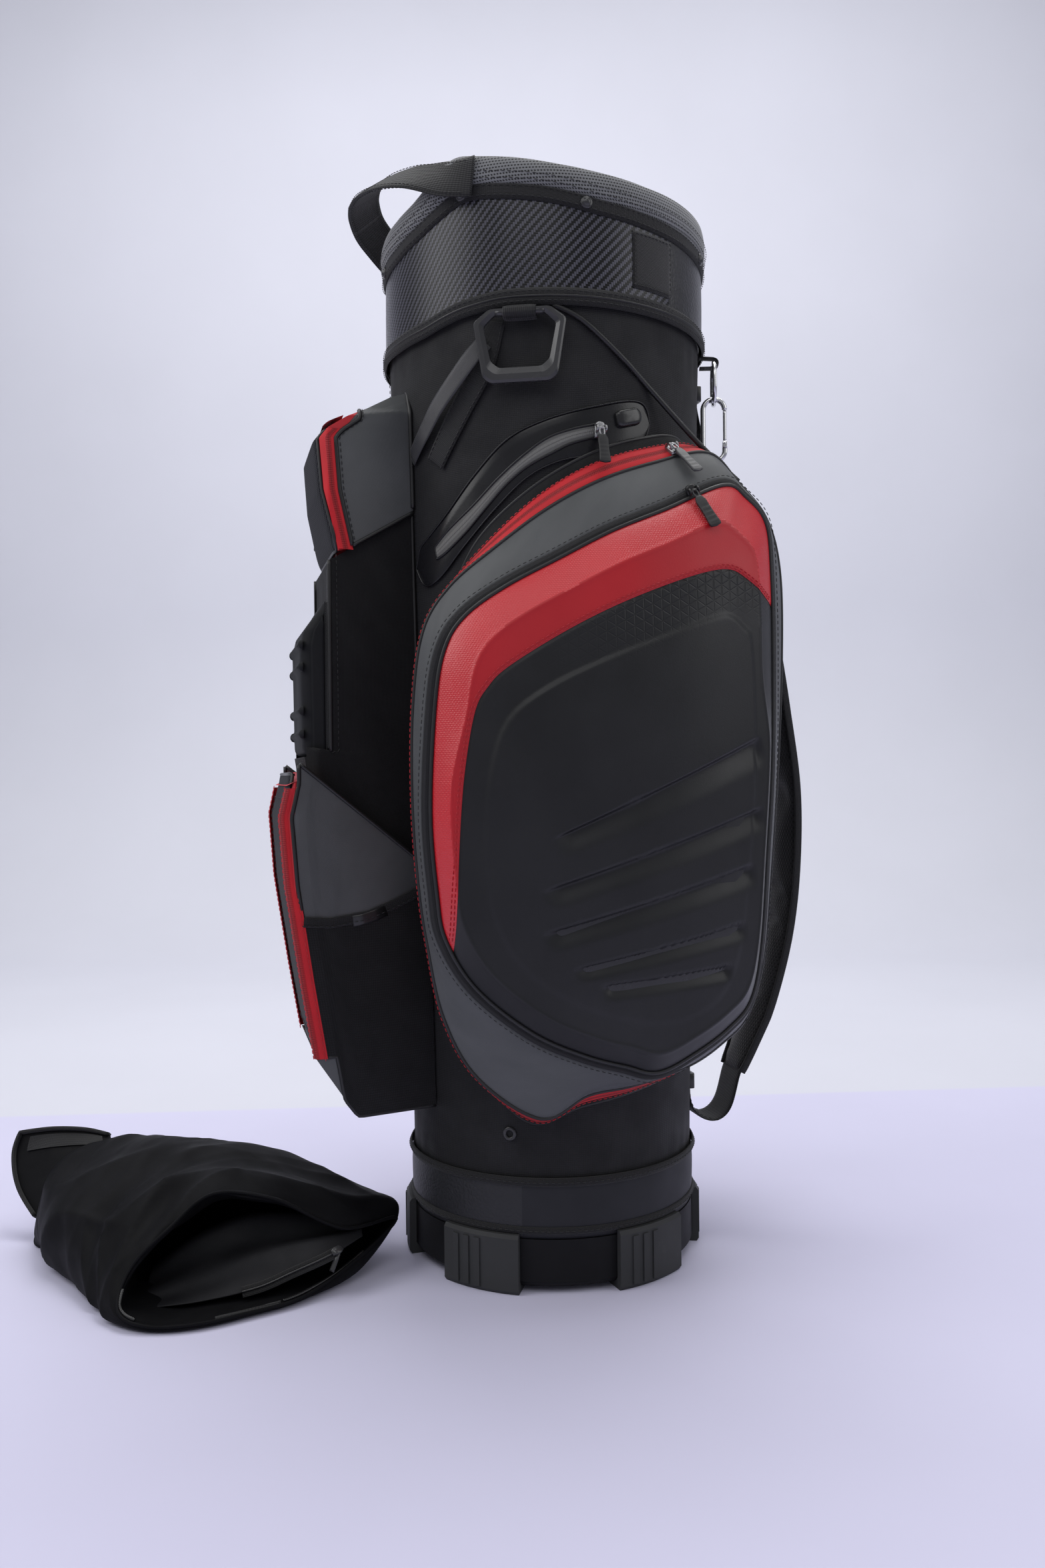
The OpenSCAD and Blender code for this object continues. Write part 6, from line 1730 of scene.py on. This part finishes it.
def build_strap():
    line = opened([[0, y, z] for y, z in PAD_LINE], 10)
    n = len(line)
    t = tangents(line)
    out = unit(np.cross(t, [1.0, 0, 0]))
    out = out * np.sign(out[:, 1:2] + 1e-9)
    d = np.r_[0, np.cumsum(np.linalg.norm(np.diff(line, axis=0), axis=1))]
    s = d / d[-1]
    a = np.linspace(0, 2 * pi, 40, endpoint=False)
    rows = []
    for i in range(n):
        wide, end = pad_taper(s[i], 27.5)
        x = np.sign(np.cos(a)) * np.abs(np.cos(a)) ** 0.5 * wide
        h = np.sign(np.sin(a)) * np.abs(np.sin(a)) ** 0.75 * 5.4 * min(1, end)
        rows.append(line[i] + x[:, None] * np.array([1.0, 0, 0]) + h[:, None] * out[i])
    pad = grid("strap_pad_foam", rows, "airmesh_round", "bag", "strap_padding", "strap_pad", loop_u=True,
               caps=True, flip=True)
    inflate(pad, 4.5, 4.0, pressure=0.9)
    # binding round the pad's edge, and a web of stitched tape down its outer face
    for sx in (-1, 1):
        q = np.array([line[i] + [sx * pad_taper(s[i], 27.6)[0], 0, 0] for i in range(2, n - 2)])
        sweep("strap_edge_%d" % sx, q, section("box", 3.0, 6.5, 12), "binding", "bag", "binding",
              up=np.array(out[2:-2]))
    flat_ribbon("strap_tape", line[3:-3] + out[3:-3] * 6.3, np.tile([1.0, 0, 0], (n - 6, 1)), 25, 1.4,
                "webbing", "bag", "binding", n=9)
    for sx in (-10.5, 10.5):
        stitches("strap_tape_stitch_%d" % sx, line[3:-3] + out[3:-3] * 7.1 + [sx, 0, 0], out[3:-3], "bag",
                 pitch=4.5)
    # webbing down to the tube at the foot and up under the collar at the head
    low_y, low_z = tube_r(144) + 1.6, 134
    bend = (42, -24), (32, -35), (19, -36), (7, -28), (1, -15), (0, 10)
    loop = [[0, low_y + a, low_z + b] for a, b in bend]
    tail = line[-1] + unit(line[-1] - line[-2]) * 0.4
    # both ends run well into the pad, whose thin tips are lost when it is remeshed
    p = opened([line[-7], line[-4], tail, *loop], 8)
    flat_ribbon("strap_web_low", p, np.tile([1.0, 0, 0], (len(p), 1)), 38, 2.2, "webbing", "bag", "binding",
                "strap_webbing", n=11)
    high_y, high_z = tube_r(772) + 1.6, 763
    head = line[0] + unit(line[0] - line[1]) * 0.4
    q = opened([line[6], line[3], head, [0, high_y + 3.5, high_z - 28], [0, high_y, high_z - 9],
                [0, high_y, high_z + 9]], 8)
    flat_ribbon("strap_web_high", q, np.tile([1.0, 0, 0], (len(q), 1)), 38, 2.2, "webbing", "bag", "binding",
                n=11)
    for name, pts in (("low", p), ("high", q)):
        nn = unit(np.cross(tangents(pts), [1.0, 0, 0]))
        nn = nn * np.sign(nn[:, 1:2] + 1e-9)
        for sx in (-15.5, 15.5):
            stitches("strap_web_%s_stitch_%d" % (name, sx), pts + nn * 1.2 + [sx, 0, 0], nn, "bag", pitch=4.5)
    # clips with rounded frames
    for name, y, z in (("low", low_y, 136), ("high", high_y, 763)):
        frame_pts = rounded([[-22, -1.4], [22, -1.4], [22, 4.0], [-22, 4.0]], 1.2, 4)
        rows = []
        for f, dz in ((0.96, -7), (1, -6.2), (1, 6.2), (0.96, 7)):
            rows.append([[px * f, y + py, z + dz] for px, py in frame_pts])
        inner = rounded([[-19.4, -1.2], [19.4, -1.2], [19.4, 1.5], [-19.4, 1.5]], 0.4, 4)
        for dz in (6.8, -6.8):
            rows.append([[px, y + py, z + dz] for px, py in inner])
        o = grid("strap_clip_" + name, np.array(rows), "plastic", "bag", "moulded_black", loop_u=True,
                 loop_v=True)
        if name == "low":
            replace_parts(o, "strap_hardware")


# ---------------------------------------------------------------- rain hood, dropped on the floor
# rings round the hood's mouth, from inside to the back: right tip, upper lip leftwards, lower lip back
HOOD_RINGS = [
    [[-86, -246, 18], [-86, -252, 18], [-86, -264, 18], [-86, -285, 18], [-86, -305, 18], [-86, -318, 18],
     [-86, -322, 18], [-86, -314, 18], [-86, -298, 18], [-86, -280, 18], [-86, -264, 18], [-86, -252, 18]],
    [[-60, -220, 30], [-62, -235, 36], [-64, -260, 44], [-66, -290, 46], [-66, -318, 42], [-64, -336, 30],
     [-60, -342, 16], [-56, -328, 8], [-52, -300, 7], [-50, -270, 7], [-52, -243, 9], [-56, -226, 18]],
    [[-22, -178, 32], [-10, -205, 46], [-14, -245, 62], [-20, -292, 64], [-8, -328, 52], [2, -352, 34],
     [12, -360, 12], [18, -340, 5], [20, -308, 4], [16, -272, 4], [8, -240, 5], [-6, -205, 14]],
    [[14, -150, 40], [36, -197, 44], [30, -248, 68], [12, -295, 70], [38, -330, 55], [50, -357, 34],
     [68, -366, 12], [82, -345, 5], [86, -312, 4], [76, -270, 4], [62, -229, 6], [34, -184, 16]],
    [[25, -146, 41], [54, -195, 48], [47, -250, 75], [30, -297, 78], [57, -332, 62], [66, -360, 38],
     [84, -368, 14], [99, -347, 6], [104, -312, 5], [94, -270, 5], [79, -228, 7], [48, -181, 20]],
    [[12, -142, 47], [34, -188, 66], [20, -243, 85], [0, -297, 88], [26, -346, 77], [42, -378, 46],
     [70, -381, 11], [94, -353, 1.2], [101, -314, 1], [91, -271, 1], [75, -229, 1.2], [43, -178, 9]],
    [[-4, -147, 43], [5, -190, 70], [-18, -240, 82], [-34, -297, 84], [-12, -356, 76], [10, -396, 46],
     [48, -390, 7], [62, -350, 0.8], [64, -312, 0.8], [56, -272, 0.8], [44, -236, 0.8], [18, -190, 4]],
    [[-16, -156, 34], [-28, -196, 66], [-48, -242, 86], [-66, -298, 90], [-54, -364, 86], [-24, -414, 54],
     [10, -406, 6], [20, -350, 0.8], [20, -312, 0.8], [14, -274, 0.8], [4, -240, 0.8], [-6, -198, 3]],
    [[-34, -176, 16], [-62, -206, 48], [-90, -246, 70], [-108, -302, 82], [-104, -368, 86], [-72, -430, 56],
     [-34, -426, 6], [-28, -350, 0.8], [-28, -312, 0.8], [-32, -278, 0.8], [-38, -246, 0.8],
     [-40, -205, 2]],
    [[-52, -196, 2], [-92, -218, 18], [-122, -262, 36], [-140, -312, 58], [-148, -378, 78],
     [-130, -438, 58], [-84, -440, 8], [-80, -360, 0.8], [-78, -320, 0.8], [-76, -285, 0.8],
     [-72, -250, 0.8], [-62, -216, 0.8]],
    [[-58, -204, 0.8], [-98, -224, 0.8], [-134, -266, 0.8], [-152, -316, 8], [-160, -380, 22],
     [-154, -440, 14], [-104, -448, 1], [-90, -370, 0.8], [-86, -325, 0.8], [-84, -290, 0.8],
     [-80, -255, 0.8], [-68, -222, 0.8]],
]


# the inner layer in the mouth, from its zipped front edge to the back, each row from left to right
INNER_ROWS = [
    [[64, -349, 5], [70, -310, 7.5], [67, -266, 11], [68, -236, 21], [69, -206, 32], [50, -178, 38]],
    [[50, -351, 6], [50, -310, 14], [46, -268, 25], [50, -238, 34], [54, -208, 40], [40, -178, 41]],
    [[34, -351, 8], [28, -312, 20], [24, -270, 29], [30, -240, 36], [38, -208, 42], [30, -176, 42]],
    [[16, -348, 12], [8, -312, 32], [4, -270, 44], [10, -240, 47], [18, -208, 47], [20, -174, 42]],
    [[-6, -344, 14], [-14, -308, 32], [-18, -270, 42], [-8, -240, 46], [2, -208, 46], [10, -174, 40]],
]


def build_inner_layer():
    """The second layer of cloth that lies folded in the mouth, with the opened zip on its edge."""
    rows = np.array([opened(r, 12) for r in INNER_ROWS])
    rows = np.array([opened(rows[:, j], 10) for j in range(rows.shape[1])]).transpose(1, 0, 2)
    n, m = rows.shape[:2]
    v, u = np.linspace(0, 1, n)[:, None], np.linspace(0, 1, m)[None]
    lift = 2.6 * np.sin(2 * pi * (2.3 * v + 0.9 * u + 0.25
                                  * wave3(rows, 0.02, 71))) * smoothstep(0.05, 0.3, v)
    lift = lift + 1.5 * wave3(rows, 0.05, 72) * smoothstep(0, 0.2, v)
    rows = rows + np.array([0.6, 0, 0.8]) * lift[..., None]
    parts = [grid("hood_inner_fold", rows, "lining_cloth", "rain_hood", "hood_fabric", thick=0.9)]
    zp = rows[0, int(0.36 * m):int(0.84 * m)] + [1.2, 0, 0.8]
    up = np.tile(unit(np.array([0.75, -0.1, 0.65])), (len(zp), 1))
    wide = np.cross(tangents(zp), up)
    parts.append(flat_ribbon("hood_zip_tape", zp, wide, 9, 1.2, "binding", "rain_hood", "hood_fabric", n=7))
    q = even(zp + up * 1.1, 0.8)
    parts.append(sweep("hood_coil_inner", q, section("round", 2.8, 2.0, 8), "plastic", "rain_hood",
                       "black_zip",
                       taper=0.85 + 0.25 * np.cos(np.arange(len(q)) * pi)))
    q = np.array([zp[-1] + up[0] * 2.0 + unit(zp[-1] - zp[-2]) * t for t in (-5, -2, 2, 5)])
    parts.append(sweep("hood_slider", q, section("box", 6.5, 3.4, 12), "gunmetal", "rain_hood", "metal",
                       up=up[0],
                       taper=np.array([0.7, 1, 1, 0.6])))
    pull = even(np.array([q[2], q[2] + [4, -3, -6], q[2] + [6, -7, -15]]), 2)
    parts.append(sweep("hood_pull", pull, section("box", 4.2, 1.6, 12), "gunmetal", "rain_hood", "metal"))
    return parts


def build_hood():
    rings = np.array(HOOD_RINGS, float)
    round_ = np.array([closed(r, 22) for r in rings])
    m = round_.shape[1]
    rows = np.array([opened(round_[:, j], 14) for j in range(m)]).transpose(1, 0, 2)
    n = rows.shape[0]
    g = np.gradient(rows, axis=0)
    h = np.roll(rows, -1, 1) - np.roll(rows, 1, 1)
    nrm = unit(np.cross(h, g))
    centre = np.array([-20, -300, 20.0])
    nrm = nrm * np.sign(np.sum(nrm * (rows - centre), -1, keepdims=True))
    v = np.linspace(-1, 9, n)[:, None]
    u = np.linspace(0, 1, m, endpoint=False)[None]
    upper = np.sin(pi * np.clip(u / 0.56, 0, 1)) ** 0.7
    outer = smoothstep(3.1, 3.8, v)
    still = rows
    # long folds that run round the mouth and gather at its two corners
    folds = 0
    warp = 0.35 * wave3(rows, 0.018, 40)
    for w, ph, lean, amp in ((1.9, 0.2, 2.6, 3.6), (2.7, 1.3, -2.3, 3.0), (1.1, 0.4, 3.4, 1.4)):
        f = np.sin(2 * pi * (v / w + lean * u + warp) + ph)
        ridge = 1 - 2 * np.abs(f) ** 0.75
        folds = folds + amp * (0.45 * f + 0.55 * ridge) * (0.55 + 0.9 * wave3(rows, 0.022, 43 + int(amp)))
    crease = 1 - np.abs(wave3(rows * [1.6, 0.7, 1.2], 0.03, 47)) * 2.2
    folds = folds + 5.5 * np.clip(crease, 0, 1) ** 2 * smoothstep(3.9, 4.8, v)
    rows = rows + nrm * (folds * upper * (0.35 + 0.65 * outer) * 0.8)[..., None]
    crumple = wave3(rows, 0.06, 41) * 1.6 + wave3(rows, 0.14, 42) * 0.8
    side_free = 1 - np.exp(-((u - 0.75) / 0.16) ** 2)
    inner = (1 - smoothstep(2.4, 3.1, v)) * np.sin(pi * np.clip((v + 1) / 4, 0, 1)) * side_free
    rows = rows + nrm * (crumple * (0.3 + 0.7 * upper) + inner * 5.5
                         * np.sin(2 * pi * (4 * u + 0.35 * v)))[..., None]
    shut = 1 - smoothstep(-0.95, -0.5, v)[..., None]
    rows = rows * (1 - shut * (v[..., None] < -0.5)) + still * (shut * (v[..., None] < -0.5))
    rows[..., 2] = np.maximum(rows[..., 2], 0.8)
    hood = grid("rain_hood_cloth", rows, "nylon", "rain_hood", "hood_fabric", "rain_hood", loop_u=True)
    # bound edge of the mouth, and the coil of its zip down the left and along the lower right
    k = int(round(4 / 10 * (n - 1)))
    lip = rows[k]
    parts = []
    parts.append(sweep("hood_lip_tape", even(lip, 4, True), section("box", 2.6, 7.0, 12), "nylon",
                       "rain_hood", "hood_fabric", loop=True,
                       up=np.array([1.0, -0.2, 0.2])))
    for name, a, b in (("left", 0.46, 0.56), ("right", 0.80, 0.93)):
        seg = rows[k - 3, int(a * m):int(b * m)] + [2.0, 0, 2.0]
        q = even(seg, 0.8)
        parts.append(sweep("hood_coil_" + name, q, section("round", 3.2, 2.2, 8), "plastic", "rain_hood",
                           "black_zip",
                           taper=0.85 + 0.25 * np.cos(np.arange(len(q)) * pi)))
    parts += build_inner_layer()
    # ribbed elastic patch sewn over the lower lip
    lip_rows = rows[k - 3:k + 5, int(0.70 * m):int(0.80 * m)]
    patch = lip_rows + nrm[k - 3:k + 5, int(0.70 * m):int(0.80 * m)] * 0.5 + [0, 0, 1.4]
    parts.append(grid("hood_elastic", patch, "webbing", "rain_hood", "binding", thick=0.8))
    # folded flap with a bound edge and its hook strip
    flap_rows = [[[-178, -470, 84], [-168, -440, 88], [-156, -410, 88], [-146, -388, 84]],
                 [[-168, -475, 66], [-156, -442, 72], [-142, -408, 76], [-128, -384, 78]],
                 [[-148, -468, 40], [-136, -438, 50], [-118, -404, 66], [-100, -380, 76]],
                 [[-120, -447, 16], [-108, -424, 34], [-88, -398, 62], [-70, -374, 74]],
                 [[-80, -431, 8], [-70, -416, 30], [-52, -398, 52], [-40, -372, 70]]]
    fr = np.array([opened(r, 14) for r in flap_rows])
    fr = np.array([opened(fr[:, j], 12) for j in range(fr.shape[1])]).transpose(1, 0, 2)
    w = wave3(fr, 0.05, 51) * 2.2 + wave3(fr, 0.12, 52) * 0.9
    fr = fr + np.array([0.8, -0.3, 0.5]) * (w * smoothstep(0, 0.3,
                                                           np.linspace(0, 1, len(fr)))[:, None])[..., None]
    grid("hood_flap_cloth", fr, "nylon", "rain_hood", "hood_fabric", flip=True, thick=1.4)
    rim = np.concatenate([fr[::-1, 0][-34:], fr[0, 1:-1]])
    parts.append(sweep("hood_flap_tape", even(rim, 3), section("box", 3.4, 8, 12), "binding", "rain_hood",
                       "hood_fabric", up=np.array([0.8, -0.3, 0.5])))
    strip = fr[4:12, 6:-6] + np.array([1.1, -0.4, 0.7])
    parts.append(grid("hood_hook_strip", strip, "hook", "rain_hood", "binding", flip=True))
    return hood, parts


build_ball()
build_mid()
build_accessory()
build_strap()
hood, hood_parts = build_hood()
# 0.92 m is the round of a hood that goes over the collar; 0.215 m is worked back from the cloth that is
# modelled here, and a real hood is longer, with more layers than show
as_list(hood_parts)


# ---------------------------------------------------------------- solids that stay, with their materials
def dress_solids():
    for node, mat in (("base_cup", "base"), ("foot_lugs", "rubber"), ("tube_liner", "divider"),
                      ("spine_stays", "fibreglass"),
                      ("divider_panels", "divider"), ("divider_top", "divider"), ("cuff_ring", "plastic"),
                      ("accessory_shell", "grey_smooth"), ("accessory_zip",
                                                           "red_plain"), ("mid_panel", "panel_solid"),
                      ("mid_zip", "binding_solid"), ("ball_shell", "grey_smooth"), ("ball_zip", "red_plain")):
        dress(node, mat)


dress_solids()

# ---------------------------------------------------------------- floor, wall and light
def build_stage():
    """A pale floor that sweeps up into a backdrop; the paper on the floor ends behind the bag."""
    back = Matrix.Rotation(rad(75), 3, "Z")
    cove = [(1.6 + 0.9 * sin(t), 0.9 - 0.9 * cos(t)) for t in np.linspace(0, pi / 2, 24)]
    path = [(-6, 0), (-2, 0), (0, 0), (1, 0), *cove, (2.5, 2), (2.5, 5)]
    verts = [tuple(back @ Vector((x, y, z))) for y, z in path for x in (-6.6, 6.6)]
    me = bpy.data.meshes.new("sweep")
    me.from_pydata(verts, [], [(2 * i, 2 * i + 1, 2 * i + 3, 2 * i + 2) for i in range(len(path) - 1)])
    me.polygons.foreach_set("use_smooth", [True] * len(me.polygons))
    o = bpy.data.objects.new("sweep", me)
    scene.collection.objects.link(o)
    m = Mat("sweep", 0.6, spec=0.3)
    vec, x, y, z = m.coords("Object", 1)
    depth = m.f("ADD", m.f("MULTIPLY", x, -sin(rad(79))), m.f("MULTIPLY", y, cos(rad(79))))
    paper = varied(m, (0.66, 0.645, 0.82), vec, 3, 0.02)
    wall = varied(m, (0.68, 0.685, 0.76), vec, 2, 0.02)
    m.color(m.mix(m.ramp(depth, 0.452, 0.462), paper, wall))
    me.materials.append(m.m)
    world = bpy.data.worlds.new("world")
    scene.world = world
    world.use_nodes = True
    bg = world.node_tree.nodes["Background"]
    bg.inputs["Color"].default_value = (0.93, 0.95, 1, 1)
    bg.inputs["Strength"].default_value = 0.32

    def lamp(name, at, aim, size, power, rgb=(1, 1, 1)):
        d = bpy.data.lights.new(name, "AREA")
        d.shape = "RECTANGLE"
        d.size, d.size_y = size
        d.energy = power
        d.color = rgb
        o = bpy.data.objects.new(name, d)
        scene.collection.objects.link(o)
        o.location = back @ Vector(at)
        o.rotation_euler = (back @ (Vector(at) - Vector(aim))).to_track_quat("Z", "Y").to_euler()
        return o
    lamp("key", (-1.7, -0.55, 1.8), (0, 0, 0.5), (1.3, 1.6), 18)
    lamp("front", (-0.3, -1.9, 2.3), (0, 0, 0.45), (1.6, 1.2), 10)
    lamp("fill", (1.8, -0.7, 1.5), (0, 0, 0.4), (1.0, 1.6), 9)
    lamp("top", (0.3, 0.1, 2.5), (0, 0, 0.4), (1.4, 0.9), 14)
    lamp("wash", (0, 1.0, 2.9), (0, 1.8, 0.4), (3.4, 1.0), 43)


build_stage()
